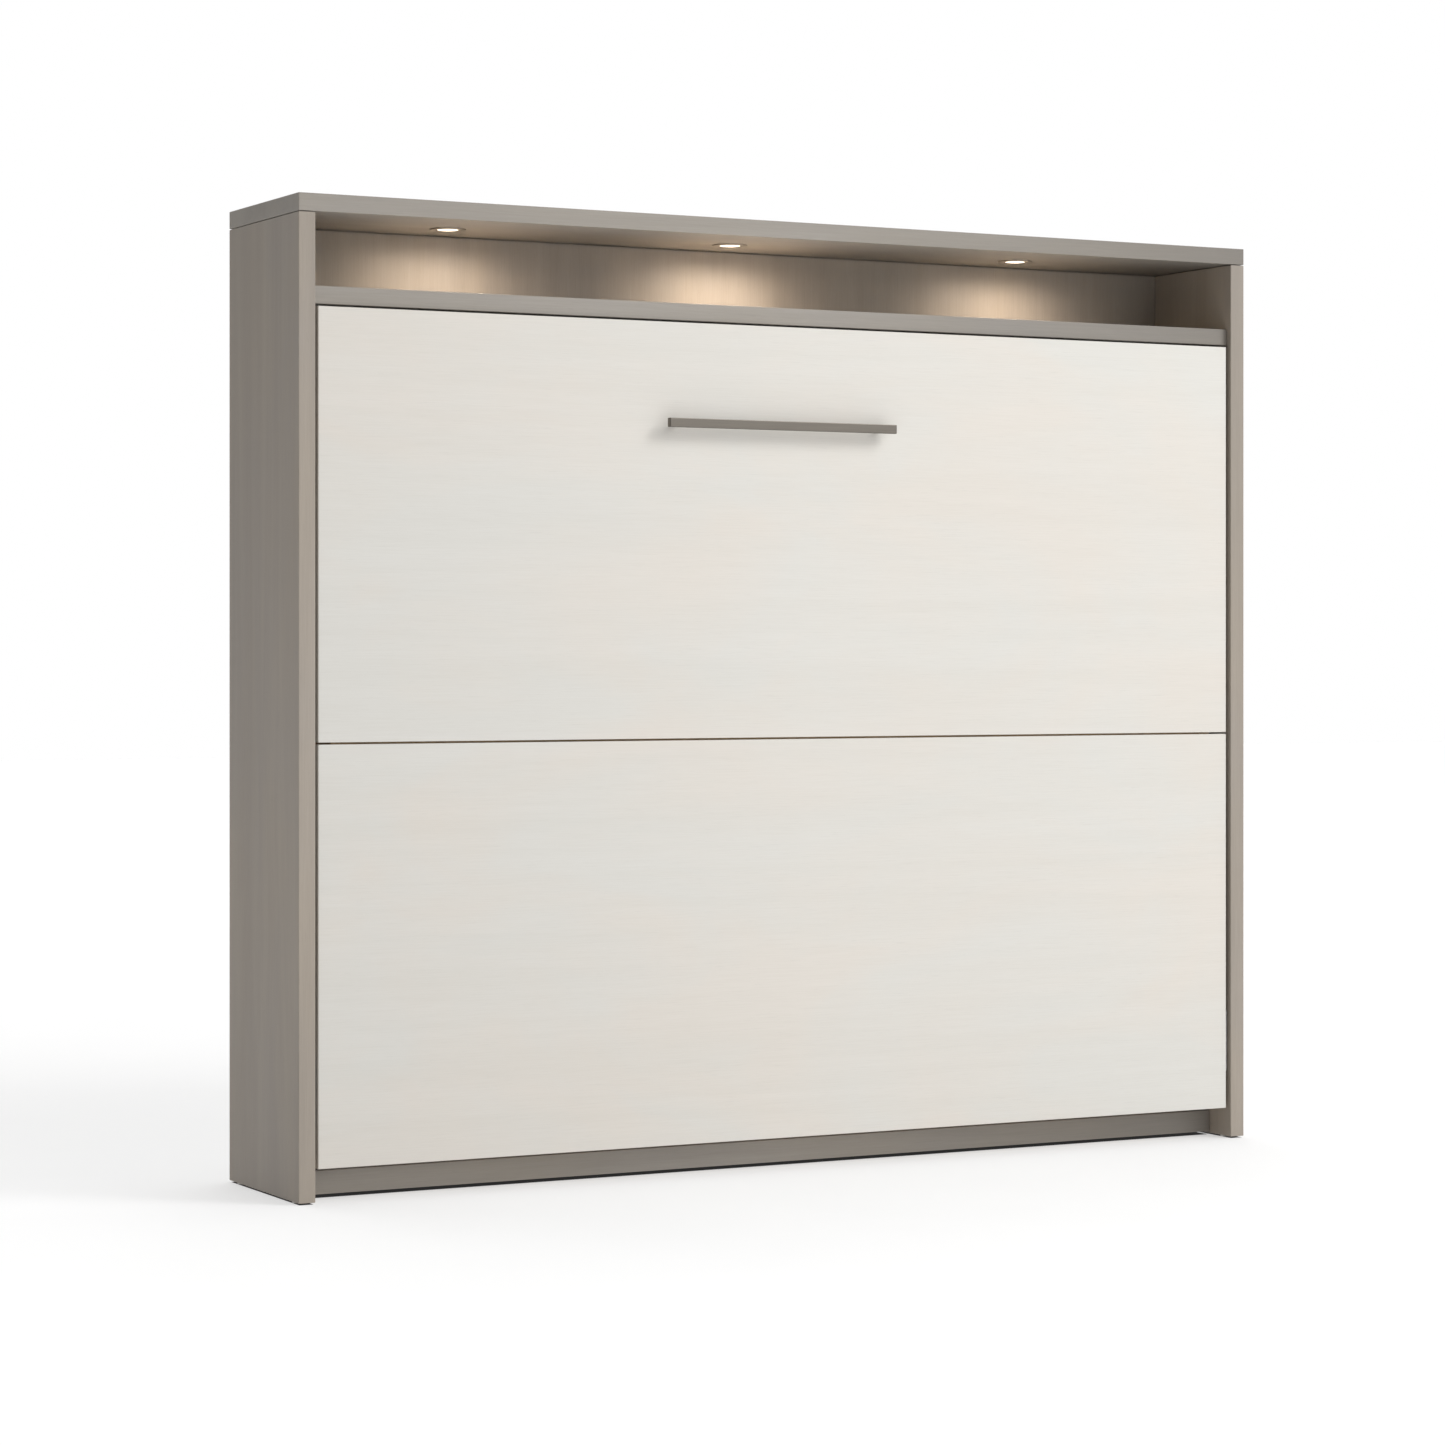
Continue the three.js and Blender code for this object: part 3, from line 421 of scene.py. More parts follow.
def woven(name, color, thread, roughness=0.85, depth=0.3, dark=0.72, stitches=None):
    """Cloth: slubby threads that cross, softly mottled. The threads lie in each pair of directions."""
    shader = Shader(name, roughness=roughness)
    fine, long = 1 / thread, 0.12 / thread
    threads = [shader.noise(along(axis, long, fine), detail=2, offset=(axis, 3, 5)) for axis in range(3)]
    crossing = shader.math("ADD", shader.math("MAXIMUM", threads[0], threads[2]), threads[1])
    weave = shader.math("SUBTRACT", crossing, 0.55)
    clouds = shader.noise((6, 6, 6), detail=3)
    low, high = shades(color, dark, 1.04)
    ground = shader.ramp(weave, ((0.25, low), (0.7, high)))
    cloudy = shader.ramp(clouds, ((0.35, (0.95, 0.95, 0.95)), (0.65, (1, 1, 1))))
    painted = shader.blend(1.0, ground, cloudy, "MULTIPLY")
    if stitches:
        painted = stitches(shader, painted)
    shader.paint(painted)
    shader.roughen(clouds, roughness - 0.06, min(1, roughness + 0.06))
    shader.surface.inputs["Sheen Weight"].default_value = 0.25
    shader.surface.inputs["Sheen Roughness"].default_value = 0.5
    shader.bump(weave, 0.5, depth * MM)
    return shader.material


def black_steel():
    return moulded("black_steel", BLACK, roughness=0.42, grain=900)


def glowing_lens():
    shader = Shader("light_diffuser", roughness=0.35)
    frost = shader.noise((260, 260, 260), detail=3)
    warm, bright = (1.0, 0.83, 0.6), (1.0, 0.93, 0.8)
    glow = shader.ramp(frost, ((0.3, warm), (0.6, bright)))
    shader.paint(glow)
    shader.link(glow, shader.surface.inputs["Emission Color"])
    shader.surface.inputs["Emission Strength"].default_value = 2.2
    shader.bump(frost, 0.1, 0.05 * MM)
    return shader.material


# ------------------------------------------------------------------ CAD nodes

CAD_SLATS = 7
PLY_EDGE = 1.5 * MM  # how wide each kind of edge is rounded
SLAT_EDGE = 2 * MM
STEEL_EDGE = 0.5 * MM


def soften(obj, width, segments=2):
    """Rounds a CAD node's sharp edges a little, so that they catch the light."""
    weld = obj.modifiers.new("weld", "WELD")
    weld.merge_threshold = 0.01 * MM
    bevel = obj.modifiers.new("edges", "BEVEL")
    bevel.width = width
    bevel.segments = segments
    bevel.limit_method = "ANGLE"
    bevel.angle_limit = math.radians(50)
    bevel.harden_normals = True
    bevel.use_clamp_overlap = True


def dress(nodes, material, edge=0.0):
    for name in nodes:
        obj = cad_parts[name]
        obj.data.materials.clear()
        obj.data.materials.append(material)
        obj.data.set_sharp_from_angle(angle=math.radians(35))
        if edge:
            soften(obj, edge)


def both(*stems):
    return [f"{stem}_{side}" for stem in stems for side, _ in SIDES]


def dress_frame():
    # Upright and level boards each get their own painted light and shade along the bed.
    upright, level = laminate(2, TAUPE, UPRIGHT_PAINTED_LIGHT), laminate(0, LEVEL_TAUPE, LEVEL_PAINTED_LIGHT)
    dress(["left_side_panel", "right_side_panel", "niche_back_panel"], upright)
    dress(["top_panel", "niche_shelf", "plinth", "rear_rail_upper", "rear_rail_lower"], level)
    dress(["face_panel_lower", "face_panel_upper"], face_laminate())
    handle = metal("handle_metal", HANDLE_BRONZE, axis=0, roughness=(0.34, 0.46))
    dress(["handle_bar", *both("handle_post")], handle)
    ply_level, ply_upright = [
        wood("plywood", BIRCH, axis, contrast=0.16, pores=0.2, roughness=(0.5, 0.65)) for axis in (0, 2)
    ]
    dress(["frame_rail_lower", "frame_rail_upper", "frame_centre_beam"], ply_level, PLY_EDGE)
    dress(both("frame_end_rail"), ply_upright, PLY_EDGE)
    beech = wood("beech", BEECH, 2, contrast=0.14, pores=0.3, roughness=(0.4, 0.55))
    dress([f"slat_{i + 1}" for i in range(CAD_SLATS)], beech, SLAT_EDGE)
    steel = metal("plated_steel", STEEL, roughness=(0.3, 0.45))
    dress(both("pivot_plate", "strut_anchor", "leg", "leg_pivot", "wall_bracket"), steel, STEEL_EDGE)
    dress(both("bed_bracket", "strut_tube"), black_steel(), STEEL_EDGE)
    dress(both("strut_rod"), metal("chromed_rod", CHROME, roughness=(0.08, 0.16)))
    rubber = moulded("foot_rubber", RUBBER, roughness=0.85, grain=700, depth=0.15)
    dress(both("leg_foot"), rubber)
    plastic = moulded("white_plastic", WHITE_PLASTIC, roughness=0.45)
    dress(["light_driver", *both("floor_glide_front", "floor_glide_rear")], plastic)
    sheath = moulded("cable_sheath", CABLE_WHITE, roughness=0.5)
    dress([f"light_cable_{name}" for name in LIGHTS], sheath)
    return steel, beech


# ------------------------------------------------------------------ new pieces


def piece(name, vertices, faces, material, body, slot, smooth_under=35):
    """A mesh in the row frame that rides on a body."""
    mesh = bpy.data.meshes.new(name)
    mesh.from_pydata(vertices, [], faces)
    mesh.validate()
    mesh.materials.append(material)
    mesh.shade_smooth()
    mesh.set_sharp_from_angle(angle=math.radians(smooth_under))
    obj = bpy.data.objects.new(name, mesh)
    bpy.context.scene.collection.objects.link(obj)
    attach(obj, body)
    return obj


def rings_to_mesh(rings, closed_start=True, closed_end=True):
    """Joins rings of equally many points into one skin."""
    count = len(rings[0])
    vertices = [point for ring in rings for point in ring]
    faces = []
    for row in range(len(rings) - 1):
        for i in range(count):
            j = (i + 1) % count
            a, b = row * count, (row + 1) * count
            faces.append((a + i, a + j, b + j, b + i))
    if closed_start:
        faces.append(tuple(reversed(range(count))))
    if closed_end:
        faces.append(tuple(range((len(rings) - 1) * count, len(rings) * count)))
    return vertices, faces


def lathe(profile, place, segments=64, axis=Vector((0, 0, 1))):
    """A (radius, height) profile turned about an axis through a place."""
    turn = Vector((0, 0, 1)).rotation_difference(axis)
    rings = []
    for radius, height in profile:
        angles = (2 * math.pi * i / segments for i in range(segments))
        ring = [Vector((radius * math.cos(a), radius * math.sin(a), height)) for a in angles]
        rings.append([place + turn @ point for point in ring])
    return rings_to_mesh(rings)


def merge(parts):
    vertices, faces = [], []
    for some_vertices, some_faces in parts:
        start = len(vertices)
        vertices.extend(some_vertices)
        faces.extend(tuple(start + i for i in face) for face in some_faces)
    return vertices, faces


CAN_RADIUS = 27 * MM
RING_INSIDE = ((0.8, 4.7), (0.8, 1.4), (1.6, 0.5), (2.6, 0.1), (4.0, 0.0))  # mm out from the lens, and up
RING_OUTSIDE = ((2.4, 0.0), (1.2, 0.25), (0.4, 0.8), (0.0, 1.6), (0.0, 2.6))  # mm in from the rim, and up
LENS_DOME = ((1.0, 4.4), (1.0, 1.1), (0.96, 0.75), (0.8, 0.45), (0.5, 0.3), (0.2, 0.25))


def downlight(name):
    """A recessed light: a turned ring with a soft edge and a frosted lens set in a dark groove."""
    low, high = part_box(f"downlight_housing_{name}")
    lens_low, lens_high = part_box(f"downlight_lens_{name}")
    place = Vector(((low.x + high.x) / 2, (low.y + high.y) / 2, low.z))
    radius = (high.x - low.x) / 2
    lens = (lens_high.x - lens_low.x) / 2
    housing = [(lens + across * MM, rise * MM) for across, rise in RING_INSIDE]
    housing += [(radius - across * MM, rise * MM) for across, rise in RING_OUTSIDE]
    housing += [(CAN_RADIUS, RING_OUTSIDE[-1][1] * MM), (CAN_RADIUS, high.z - low.z)]
    metal_ring = metal("light_metal", LIGHT_BRONZE, roughness=(0.35, 0.5))
    ring_skin = lathe(housing, place)
    shell = piece(f"niche_light_{name}", *ring_skin, metal_ring, "cabinet", "light_metal")
    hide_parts(f"downlight_housing_{name}")
    dome = [(lens * share, rise * MM) for share, rise in LENS_DOME]
    lens_skin = lathe(dome, place)
    glass = piece(f"niche_lens_{name}", *lens_skin, glowing_lens(), "cabinet", "light_diffuser")
    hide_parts(f"downlight_lens_{name}")
    settings = {"spot_size": BEAM_SPREAD, "spot_blend": 1.0, "shadow_soft_size": lens}
    for step in BEAM_STEPS:
        start = place + Vector((step, 0, -BEAM_DROP))
        target = start - Vector((0, 0, 1))
        add_light(f"beam_{name}", "SPOT", start, target, BEAM_POWERS[name], WARM, **settings)


HEAD_PROFILE = (  # how far out and how high, as shares of the head's radius, and whether it is a hexagon
    (1.0, 0.0, False), (1.0, 0.15, False), (0.86, 0.33, False), (0.62, 0.42, False),
    (0.42, 0.42, True), (0.42, 0.15, True),
)
PLATE_SCREW = 4.8 * MM  # radii of the screws' heads
BRACKET_SCREW = 4.4 * MM
FRAME_SCREW = 4 * MM
WALL_SCREW = 6.5 * MM
WALL_SCREW_X = (-0.95, -0.45, 0, 0.45, 0.95)
PLATE_INSET = 12 * MM  # from a piece's edges to its screws
ANCHOR_INSET = 16 * MM
ANGLE_INSET = 15 * MM
ANGLE_FRONT_INSET = 14 * MM
ANGLE_LOWER_INSET = 18 * MM
BRACKET_DROPS = (30 * MM, 130 * MM)
BRACKET_REACHES = (20 * MM, 86 * MM)
RAIL_SIDE_INSET = 25 * MM
RAIL_OVERHANG = 11 * MM  # from an end rail's ends to the screws, in the middle of the long rails
ANGLE_THICKNESS = 3 * MM
PLATE_THICKNESS = 4.3 * MM  # with the gap behind it


def screw_head(place, axis, radius):
    """A button head with a hexagonal socket, standing on a surface."""
    segments = 24
    turn = Vector((0, 0, 1)).rotation_difference(axis)
    rings = []
    for reach, rise, is_hexagon in HEAD_PROFILE:
        reach, rise = reach * radius, rise * radius
        ring = []
        for i in range(segments):
            angle = 2 * math.pi * i / segments
            corner = math.cos(math.pi / 6) / math.cos(angle % (math.pi / 3) - math.pi / 6)
            r = reach * (corner if is_hexagon else 1)
            ring.append(place + turn @ Vector((r * math.cos(angle), r * math.sin(angle), rise)))
        rings.append(ring)
    return rings_to_mesh(rings)


def screws(name, places, axis, radius, material, body):
    heads = merge([screw_head(Vector(place), Vector(axis), radius) for place in places])
    return piece(name, *heads, material, body, "plated_steel", smooth_under=30)


def cabinet_screws(side, sign, steel):
    """Heads on the pivot plate, the strut's anchor and the wall bracket of one side."""
    surface = plate_surface(side, sign)
    inward = (-sign, 0, 0)
    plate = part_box(f"pivot_plate_{side}")
    rows, columns = both_ends(plate, 1, PLATE_INSET), both_ends(plate, 2, PLATE_INSET)
    corners = [(surface, y, z) for y in rows for z in columns]
    screws(f"pivot_plate_screws_{side}", corners, inward, PLATE_SCREW, steel, "cabinet")
    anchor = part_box(f"strut_anchor_{side}")
    middle = (anchor[0].y + anchor[1].y) / 2
    ends = [(surface, middle, z) for z in both_ends(anchor, 2, ANCHOR_INSET)]
    screws(f"strut_anchor_screws_{side}", ends, inward, PLATE_SCREW, steel, "cabinet")
    low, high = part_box(f"wall_bracket_{side}")
    columns = both_ends((low, high), 0, ANGLE_INSET)
    under = [(x, low.y + ANGLE_FRONT_INSET, high.z - ANGLE_THICKNESS) for x in columns]
    screws(f"wall_bracket_screws_{side}", under, (0, 0, -1), PLATE_SCREW, steel, "cabinet")
    front = [(x, high.y - ANGLE_THICKNESS, low.z + ANGLE_LOWER_INSET) for x in columns]
    screws(f"wall_bracket_rail_screws_{side}", front, (0, -1, 0), PLATE_SCREW, steel, "cabinet")


def bed_screws(side, sign, steel):
    """Heads on the bed's bracket and at the frame's corners, on one side."""
    outward = (sign, 0, 0)
    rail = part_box(f"frame_end_rail_{side}")
    rail_end = rail[1 if sign > 0 else 0].x
    low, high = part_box(f"bed_bracket_{side}")
    rows = [high.z - drop for drop in BRACKET_DROPS]
    surface = rail_end + sign * PLATE_THICKNESS
    places = [(surface, low.y + reach, z) for z in rows for reach in BRACKET_REACHES]
    screws(f"bed_bracket_screws_{side}", places, outward, BRACKET_SCREW, steel, "bed")
    rows = both_ends(rail, 2, -RAIL_OVERHANG)
    corners = [(rail_end, y, z) for z in rows for y in both_ends(rail, 1, RAIL_SIDE_INSET)]
    screws(f"frame_corner_screws_{side}", corners, outward, FRAME_SCREW, steel, "bed")


def wall_screws(steel):
    for rail in ("upper", "lower"):
        low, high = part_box(f"rear_rail_{rail}")
        places = [(x, low.y, (low.z + high.z) / 2) for x in WALL_SCREW_X]
        screws(f"wall_screws_{rail}", places, (0, -1, 0), WALL_SCREW, steel, "cabinet")


def plate_surface(side, sign):
    """Where the plates on a cabinet side have their inner face."""
    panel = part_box(f"{side}_side_panel")
    return panel[0 if sign > 0 else 1].x - sign * PLATE_THICKNESS


def both_ends(box, axis, inset):
    return (box[0][axis] + inset, box[1][axis] - inset)


def more_slats(beech):
    """One more slat between each two of the frame's."""
    for i in range(1, CAD_SLATS):
        low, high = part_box(f"slat_{i}")
        step = (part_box(f"slat_{i + 1}")[0].x - low.x) / 2
        shift = Vector((step, 0, 0))
        rounded_box(f"middle_slat_{i}", low + shift, high + shift, SLAT_EDGE, beech, "bed", "beech")


def rounded_box(name, low, high, edge, material, body, slot):
    mesh = bmesh.new()
    bmesh.ops.create_cube(mesh, size=1)
    size, middle = high - low, (low + high) / 2
    for vertex in mesh.verts:
        vertex.co = Vector(a * b for a, b in zip(vertex.co, size)) + middle
    bmesh.ops.bevel(mesh, geom=mesh.edges[:], offset=edge, segments=3, profile=0.5, affect="EDGES")
    vertices = [vertex.co.copy() for vertex in mesh.verts]
    faces = [tuple(vertex.index for vertex in face.verts) for face in mesh.faces]
    mesh.free()
    return piece(name, vertices, faces, material, body, slot)


# ------------------------------------------------------------------ mattress

TAPE_INSET = 9 * MM  # from the CAD mattress to the slab that swells
TAPE_RADIUS = 5 * MM
TAPE_STEP = 12 * MM
TAPE_SETBACK = 3 * MM  # from the panels
TAPE_SUNK = 2.5 * MM  # into the sides
CORNER = 45 * MM
VOXEL = 16 * MM
TUFT_PITCH = 254 * MM
HALF_SPAN = 1.2  # more than half the mattress's length
TUFT_RADIUS = 11 * MM
TUFT_SIDES = 20
TUFT_PROFILE = ((1.0, 0.0), (1.0, 0.9), (0.9, 2.0), (0.6, 3.0), (0.25, 3.5), (0.08, 2.8))
TUFT_SUNK = 1.5 * MM
EDGE_MARGIN = 70 * MM  # from the mattress's sides to the nearest tuft
RIM = 8 * MM  # how far the starting slab's rims are cut back
BORDER_LINE = 45 * MM  # from the middle of the border to each of its two level lines
SLAT_GAP = 0.3 * MM
SWELL_LIMIT = 8 * MM  # past the CAD mattress, at the back
SWELL_CAP = 13 * MM
PRESSURE = 4.0
LAST_FRAME = 20
CHANNEL_DEPTH = 3.2 * MM
CHANNEL_WIDTH = 9 * MM


class Mattress:
    """The places on the mattress that its parts share."""

    def __init__(self):
        self.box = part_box("mattress")
        low, high = self.box
        inset = Vector((TAPE_INSET,) * 3)
        self.low, self.high = low + inset, high - inset
        self.centre = (low + high) / 2

    def outline(self, inset, corner, steps=10):
        """A rounded rectangle in x and z."""
        half_x = self.high.x - self.centre.x - inset - corner
        half_z = self.high.z - self.centre.z - inset - corner
        points = []
        for quarter, (sx, sz) in enumerate(((1, 1), (-1, 1), (-1, -1), (1, -1))):
            for step in range(steps + 1):
                angle = math.pi / 2 * (quarter + step / steps)
                x = self.centre.x + sx * half_x + corner * math.cos(angle)
                z = self.centre.z + sz * half_z + corner * math.sin(angle)
                points.append((x, z))
        return points

    def block(self):
        """The starting shape: a slab with rounded corners and small rounded rims."""
        rows = [(self.low.y, RIM), (self.low.y + RIM, 0), (self.high.y - RIM, 0), (self.high.y, RIM)]
        rings = [[Vector((x, y, z)) for x, z in self.outline(inset, CORNER - inset)] for y, inset in rows]
        return rings_to_mesh(rings)

    def tufts(self):
        """Staggered places on the panels, in x and z."""
        places = []
        reach = int(HALF_SPAN / TUFT_PITCH) + 1
        for i in range(-2 * reach, 2 * reach + 1):
            for j in range(-2 * reach, 2 * reach + 1):
                if (i + j) % 2:
                    continue
                x, z = i * TUFT_PITCH / 2 + self.centre.x, j * TUFT_PITCH / 2 + self.centre.z
                inside_x = abs(x - self.centre.x) < self.high.x - self.centre.x - EDGE_MARGIN
                if inside_x and abs(z - self.centre.z) < self.high.z - self.centre.z - EDGE_MARGIN:
                    places.append((x, z))
        return places


def coordinates(mesh):
    flat = np.zeros(len(mesh.vertices) * 3)
    mesh.vertices.foreach_get("co", flat)
    return flat.reshape(-1, 3)


def set_coordinates(mesh, points):
    mesh.vertices.foreach_set("co", points.astype(np.float32).ravel())
    mesh.update()


def apply_modifiers(obj):
    evaluated = obj.evaluated_get(bpy.context.evaluated_depsgraph_get())
    mesh = bpy.data.meshes.new_from_object(evaluated)
    obj.modifiers.clear()
    obj.data = mesh


def held_points(shape, points):
    """Which points the tufts and the tape edges hold still."""
    x, y, z = points.T
    half_x, half_z = shape.high.x - shape.centre.x, shape.high.z - shape.centre.z
    to_side = np.minimum(half_x - abs(x - shape.centre.x), half_z - abs(z - shape.centre.z))
    to_panel = np.minimum(y - shape.low.y, shape.high.y - y)
    held = (to_side < VOXEL) & (to_panel < VOXEL)
    on_panel = to_panel < VOXEL / 2
    for tuft_x, tuft_z in shape.tufts():
        held |= on_panel & (np.hypot(x - tuft_x, z - tuft_z) < VOXEL)
    return held


def inflate(obj, held):
    """Swells a closed mesh with cloth simulation, and caps how far each point moves."""
    group = obj.vertex_groups.new(name="held")
    group.add([int(i) for i in np.flatnonzero(held)], 1.0, "REPLACE")
    cloth = obj.modifiers.new("cloth", "CLOTH")
    cloth.settings.quality = 5
    cloth.settings.mass = 0.3
    cloth.settings.use_pressure = True
    cloth.settings.uniform_pressure_force = PRESSURE
    cloth.settings.vertex_group_mass = "held"
    cloth.settings.effector_weights.gravity = 0
    cloth.collision_settings.use_collision = False
    cloth.point_cache.frame_end = LAST_FRAME
    start = coordinates(obj.data)
    for step in range(1, LAST_FRAME + 1):
        bpy.context.scene.frame_set(step)
    apply_modifiers(obj)
    moved = coordinates(obj.data) - start
    length = np.linalg.norm(moved, axis=1, keepdims=True)
    capped = SWELL_CAP * np.tanh(length / SWELL_CAP)
    set_coordinates(obj.data, start + moved * capped / np.maximum(length, 1e-9))
    bpy.context.scene.frame_set(1)


def sew_channels(shape, points):
    """Presses the quilting lines into the panels and two level lines into the border."""
    x, y, z = points.T
    to_panel = np.minimum(y - shape.low.y, shape.high.y - y)
    depth_axis = np.where(y > shape.centre.y, -1.0, 1.0)
    sums = np.stack([x - shape.centre.x + z - shape.centre.z, x - shape.centre.x - z + shape.centre.z])
    gap = abs((sums + TUFT_PITCH / 2) % TUFT_PITCH - TUFT_PITCH / 2).min(0) / math.sqrt(2)
    half_x, half_z = shape.high.x - shape.centre.x, shape.high.z - shape.centre.z
    to_side = np.minimum(half_x - abs(x - shape.centre.x), half_z - abs(z - shape.centre.z))
    fade = np.clip((to_side - 2 * VOXEL) / (2 * VOXEL), 0, 1) * (to_panel < VOXEL / 2)
    points[:, 1] += depth_axis * fade * CHANNEL_DEPTH * np.exp(-((gap / CHANNEL_WIDTH) ** 2))
    level = abs(abs(y - shape.centre.y) - BORDER_LINE)
    sink = CHANNEL_DEPTH * np.exp(-((level / CHANNEL_WIDTH) ** 2)) * (to_panel > 2 * VOXEL)
    side_x = half_x - abs(x - shape.centre.x) < half_z - abs(z - shape.centre.z)
    points[:, 0] -= np.sign(x - shape.centre.x) * sink * side_x
    points[:, 2] -= np.sign(z - shape.centre.z) * sink * ~side_x


def keep_in_place(shape, points):
    """The mattress lies flat on its slats, between the rails."""
    low, high = shape.box
    points[:, 0] = points[:, 0].clip(low.x, high.x)
    points[:, 1] = points[:, 1].clip(low.y + SLAT_GAP, high.y + SWELL_LIMIT)
    points[:, 2] = points[:, 2].clip(low.z, high.z)


def mattress(shape):
    ticking = ticking_material(shape)
    obj = piece("mattress_body", *shape.block(), ticking, "bed", "mattress_ticking")
    remesh = obj.modifiers.new("remesh", "REMESH")
    remesh.mode = "VOXEL"
    remesh.voxel_size = VOXEL
    apply_modifiers(obj)
    inflate(obj, held_points(shape, coordinates(obj.data)))
    subdivision = obj.modifiers.new("subdivision", "SUBSURF")
    subdivision.levels = 1
    subdivision.render_levels = 1
    apply_modifiers(obj)
    points = coordinates(obj.data)
    sew_channels(shape, points)
    keep_in_place(shape, points)
    set_coordinates(obj.data, points)
    obj.data.shade_smooth()
    obj.data.materials.clear()
    obj.data.materials.append(ticking)
    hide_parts("mattress")
    return obj


def loop_tube(path, radius, segments=12):
    """A round tube along a closed path in the plane of x and z."""
    rings = []
    count = len(path)
    for i, point in enumerate(path):
        forward = (path[(i + 1) % count] - path[i - 1]).normalized()
        side = forward.cross(Vector((0, 1, 0))).normalized()
        up = side.cross(forward)
        angles = (2 * math.pi * k / segments for k in range(segments))
        rings.append([point + radius * (math.cos(a) * side + math.sin(a) * up) for a in angles])
    rings.append(rings[0])
    vertices, faces = rings_to_mesh(rings, closed_start=False, closed_end=False)
    keep = len(vertices) - segments
    faces = [tuple(i - keep if i >= keep else i for i in face) for face in faces]
    return vertices[:keep], faces


def tape_edges(shape):
    tape = woven("mattress_ticking", shades(TICKING, 0.93)[0], 0.9 * MM)
    for name, y in (("front", shape.low.y + TAPE_SETBACK), ("back", shape.high.y - TAPE_SETBACK)):
        path = [Vector((x, y, z)) for x, z in shape.outline(TAPE_SUNK, CORNER)]
        skin = loop_tube(spaced(path, TAPE_STEP), TAPE_RADIUS)
        piece(f"mattress_tape_{name}", *skin, tape, "bed", "mattress_ticking")


def spaced(path, step):
    """Points at even steps along a closed path."""
    ends = path + path[:1]
    lengths = [0.0]
    for a, b in zip(ends, ends[1:]):
        lengths.append(lengths[-1] + (b - a).length)
    count = max(8, round(lengths[-1] / step))
    places = np.linspace(0, lengths[-1], count, endpoint=False)
    columns = [np.interp(places, lengths, [point[axis] for point in ends]) for axis in range(3)]
    return [Vector(values) for values in zip(*columns)]


def tuft_buttons(shape):
    """Felt buttons where the tufts are tied, on the panel that faces up when the bed is down."""
    felt = woven("mattress_ticking", shades(TICKING, 0.86)[0], 0.8 * MM)
    profile = [(share * TUFT_RADIUS, rise * MM) for share, rise in TUFT_PROFILE]
    foot, outward = shape.high.y - TUFT_SUNK, Vector((0, 1, 0))
    parts = [lathe(profile, Vector((x, foot, z)), TUFT_SIDES, outward) for x, z in shape.tufts()]
    piece("mattress_tufts", *merge(parts), felt, "bed", "mattress_ticking")


def ticking_material(shape):
    """Ticking with rows of dashed stitches that cross at the tufts."""
    thread = shades(TICKING, 0.62)[0]
    away = 20 * TUFT_PITCH  # keeps the places positive

    def stitches(shader, color):
        place = shader.parts()
        x = shader.math("SUBTRACT", place[0], shape.centre.x)
        z = shader.math("SUBTRACT", place[2], shape.centre.z)
        for first, second in (("ADD", "SUBTRACT"), ("SUBTRACT", "ADD")):
            across = shader.math("ADD", shader.math(first, x, z), away)
            near = shader.math("PINGPONG", across, TUFT_PITCH / 2)
            line = shader.math("LESS_THAN", near, STITCH_WIDTH)
            lengthwise = shader.math("ADD", shader.math(second, x, z), away)
            half_pitch, half_gap = STITCH_DASH
            dash = shader.math("GREATER_THAN", shader.math("PINGPONG", lengthwise, half_pitch), half_gap)
            color = shader.blend(shader.math("MULTIPLY", line, dash), color, thread)
        return color

    return woven("mattress_ticking", TICKING, TICKING_THREAD, stitches=stitches)


# ------------------------------------------------------------------ straps

STRAP_THICKNESS = 2 * MM
STRAP_GAP = 0.5 * MM
STRAP_STEP = 4 * MM
STRAP_EDGE = 0.8 * MM
STRAP_START = 4 * MM  # from the mattress's front to the strap's ends
STRAP_THREAD = 1.5 * MM
STRAP_MARGIN = 3 * MM  # past the strap's edges, where the mattress still lifts it
SMOOTHING_PASSES = 3
TAPE_SPARE = 2.5 * MM  # room over the tapes, which the smoothing of a strap's line takes up
BUCKLE_RISE = 380 * MM
BUCKLE_OVERHANG = 5 * MM  # past the strap's edges
BUCKLE_TALL = 21 * MM  # half the buckle's height
BUCKLE_BAR = 8 * MM
BUCKLE_SIDE = 4 * MM
BUCKLE_DEPTH = 6 * MM
BUCKLE_EDGE = 1.4 * MM
LEVER_PLAY = 0.5 * MM  # from the strap's edges
LEVER_LOW = (1 * MM, -11 * MM)  # from the strap's face, and from the buckle's middle
LEVER_HIGH = (6.5 * MM, 10 * MM)
LEVER_EDGE = 2 * MM


def hull(points):
    """The convex outline round points in a plane, anticlockwise."""
    ordered = sorted(set(points))

    def chain(run):
        out = []
        for p in run:
            while len(out) > 1 and cross(out[-2], out[-1], p) <= 0:
                out.pop()
            out.append(p)
        return out[:-1]

    return chain(ordered) + chain(ordered[::-1])


def cross(o, a, b):
    return (a[0] - o[0]) * (b[1] - o[1]) - (a[1] - o[1]) * (b[0] - o[0])


def tape_sections(shape):
    """Points round the edge tapes where a strap crosses them, in y and z."""
    radius = TAPE_RADIUS + TAPE_SPARE
    rows = (shape.low.y + TAPE_SETBACK, shape.high.y - TAPE_SETBACK)
    levels = (shape.low.z + TAPE_SUNK, shape.high.z - TAPE_SUNK)
    angles = [math.radians(30 * step) for step in range(12)]
    circle = [(radius * math.cos(angle), radius * math.sin(angle)) for angle in angles]
    return [(y + across, z + up) for y in rows for z in levels for across, up in circle]


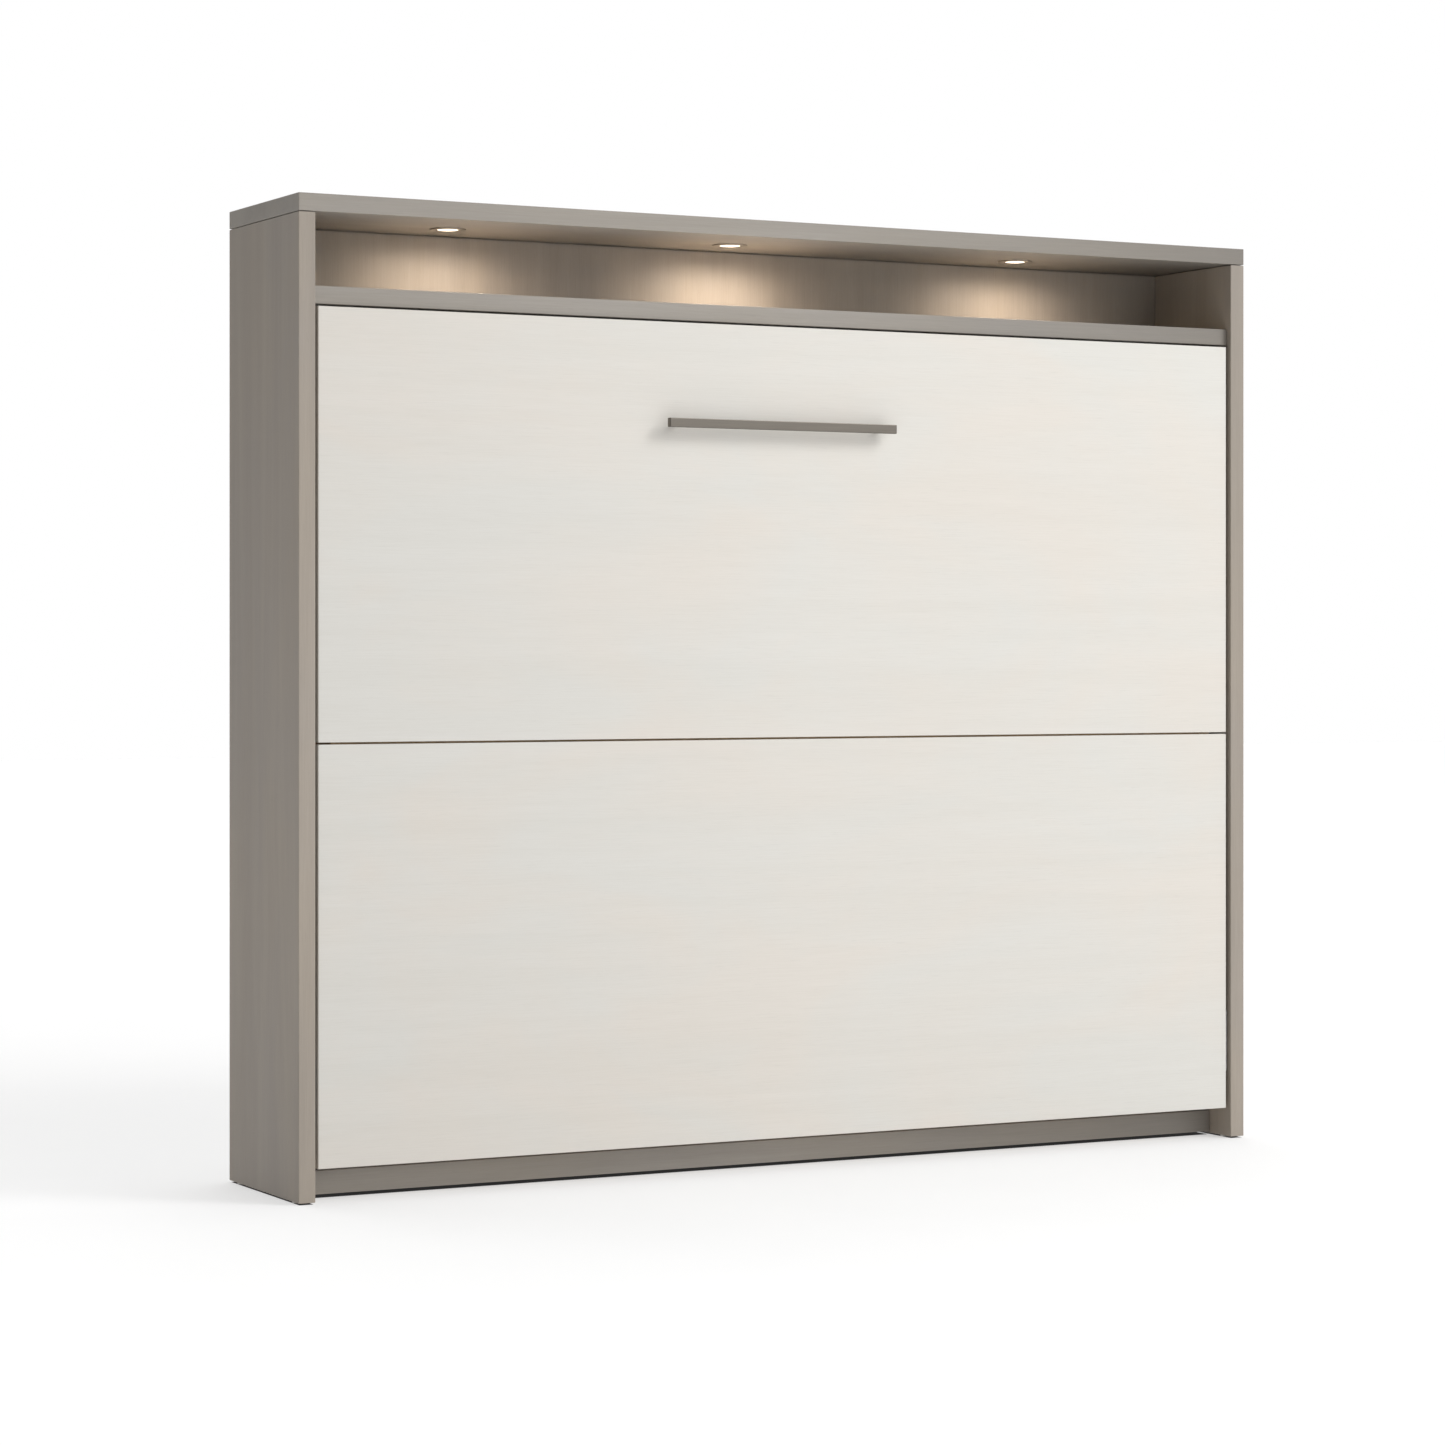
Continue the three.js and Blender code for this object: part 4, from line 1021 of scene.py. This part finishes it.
def strap_line(shape, body, x, half_width):
    """The taut line of a strap over the mattress, as (y, z) points from below to above."""
    points = coordinates(body.data)
    near = points[abs(points[:, 0] - x) < half_width + STRAP_MARGIN]
    start = shape.box[0].y + STRAP_START
    touched = [(round(y, 6), round(z, 6)) for _, y, z in near] + tape_sections(shape)
    outline = [p for p in hull(touched) if p[0] > start]
    corners = [(start, outline[0][1])] + outline + [(start, outline[-1][1])]
    lengths = np.concatenate([[0], np.cumsum([math.dist(a, b) for a, b in zip(corners, corners[1:])])])
    places = np.linspace(0, lengths[-1], round(lengths[-1] / STRAP_STEP))
    line = np.stack([np.interp(places, lengths, [p[axis] for p in corners]) for axis in (0, 1)], 1)
    for _ in range(SMOOTHING_PASSES):
        line[1:-1] = (line[:-2] + line[1:-1] + line[2:]) / 3
    return line


def strap(shape, body, side):
    low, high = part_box(f"mattress_strap_{side}")
    x, half_width = (low.x + high.x) / 2, (high.x - low.x) / 2
    line = strap_line(shape, body, x, half_width)
    ahead = np.gradient(line, axis=0)
    ahead /= np.linalg.norm(ahead, axis=1, keepdims=True)
    outward = np.stack([ahead[:, 1], -ahead[:, 0]], 1)
    line = line + outward * (STRAP_GAP + STRAP_THICKNESS / 2)
    edge, half = STRAP_EDGE, STRAP_THICKNESS / 2
    section = [(-half_width, 0), (edge - half_width, -half), (half_width - edge, -half)]
    section += [(half_width, 0), (half_width - edge, half), (edge - half_width, half)]
    rings = [
        [Vector((x + across, y + rise * out_y, z + rise * out_z)) for across, rise in section]
        for (y, z), (out_y, out_z) in zip(line, outward)
    ]
    webbing = woven("strap_webbing", WEBBING, STRAP_THREAD, roughness=0.8, dark=0.5)
    skin = rings_to_mesh(rings)
    made = piece(f"strap_{side}", *skin, webbing, "bed", "strap_webbing", smooth_under=50)
    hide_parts(f"mattress_strap_{side}")
    buckle(side, x, half_width, line[:, 0].max() + half, shape.centre.z + BUCKLE_RISE)


def buckle(side, x, half_width, y, z):
    """A cam buckle: two bars, two cheeks and the lever between them."""
    black = black_steel()
    wide = half_width + BUCKLE_OVERHANG

    def part(name, low, high, edge):
        rounded_box(f"buckle_{name}_{side}", Vector(low), Vector(high), edge, black, "bed", "black_steel")

    for name, low_z in (("lower", z - BUCKLE_TALL), ("upper", z + BUCKLE_TALL - BUCKLE_BAR)):
        high = (x + wide, y + BUCKLE_SIDE, low_z + BUCKLE_BAR)
        part(f"bar_{name}", (x - wide, y, low_z), high, BUCKLE_EDGE)
    for name, sign in SIDES:
        ends = sorted((x + sign * wide, x + sign * (wide - BUCKLE_SIDE)))
        high = (ends[1], y + BUCKLE_DEPTH, z + BUCKLE_TALL)
        part(f"cheek_{name}", (ends[0], y, z - BUCKLE_TALL), high, BUCKLE_EDGE)
    reach = half_width - LEVER_PLAY
    low = (x - reach, y + LEVER_LOW[0], z + LEVER_LOW[1])
    high = (x + reach, y + LEVER_HIGH[0], z + LEVER_HIGH[1])
    part("lever", low, high, LEVER_EDGE)


make_camera()
make_studio()
steel_finish, beech_finish = dress_frame()
for light_name in LIGHTS:
    downlight(light_name)
for side_name, side_sign in SIDES:
    cabinet_screws(side_name, side_sign, steel_finish)
    bed_screws(side_name, side_sign, steel_finish)
wall_screws(steel_finish)
more_slats(beech_finish)
bedding = Mattress()
mattress_body = mattress(bedding)
tape_edges(bedding)
tuft_buttons(bedding)
for side_name, _ in SIDES:
    strap(bedding, mattress_body, side_name)
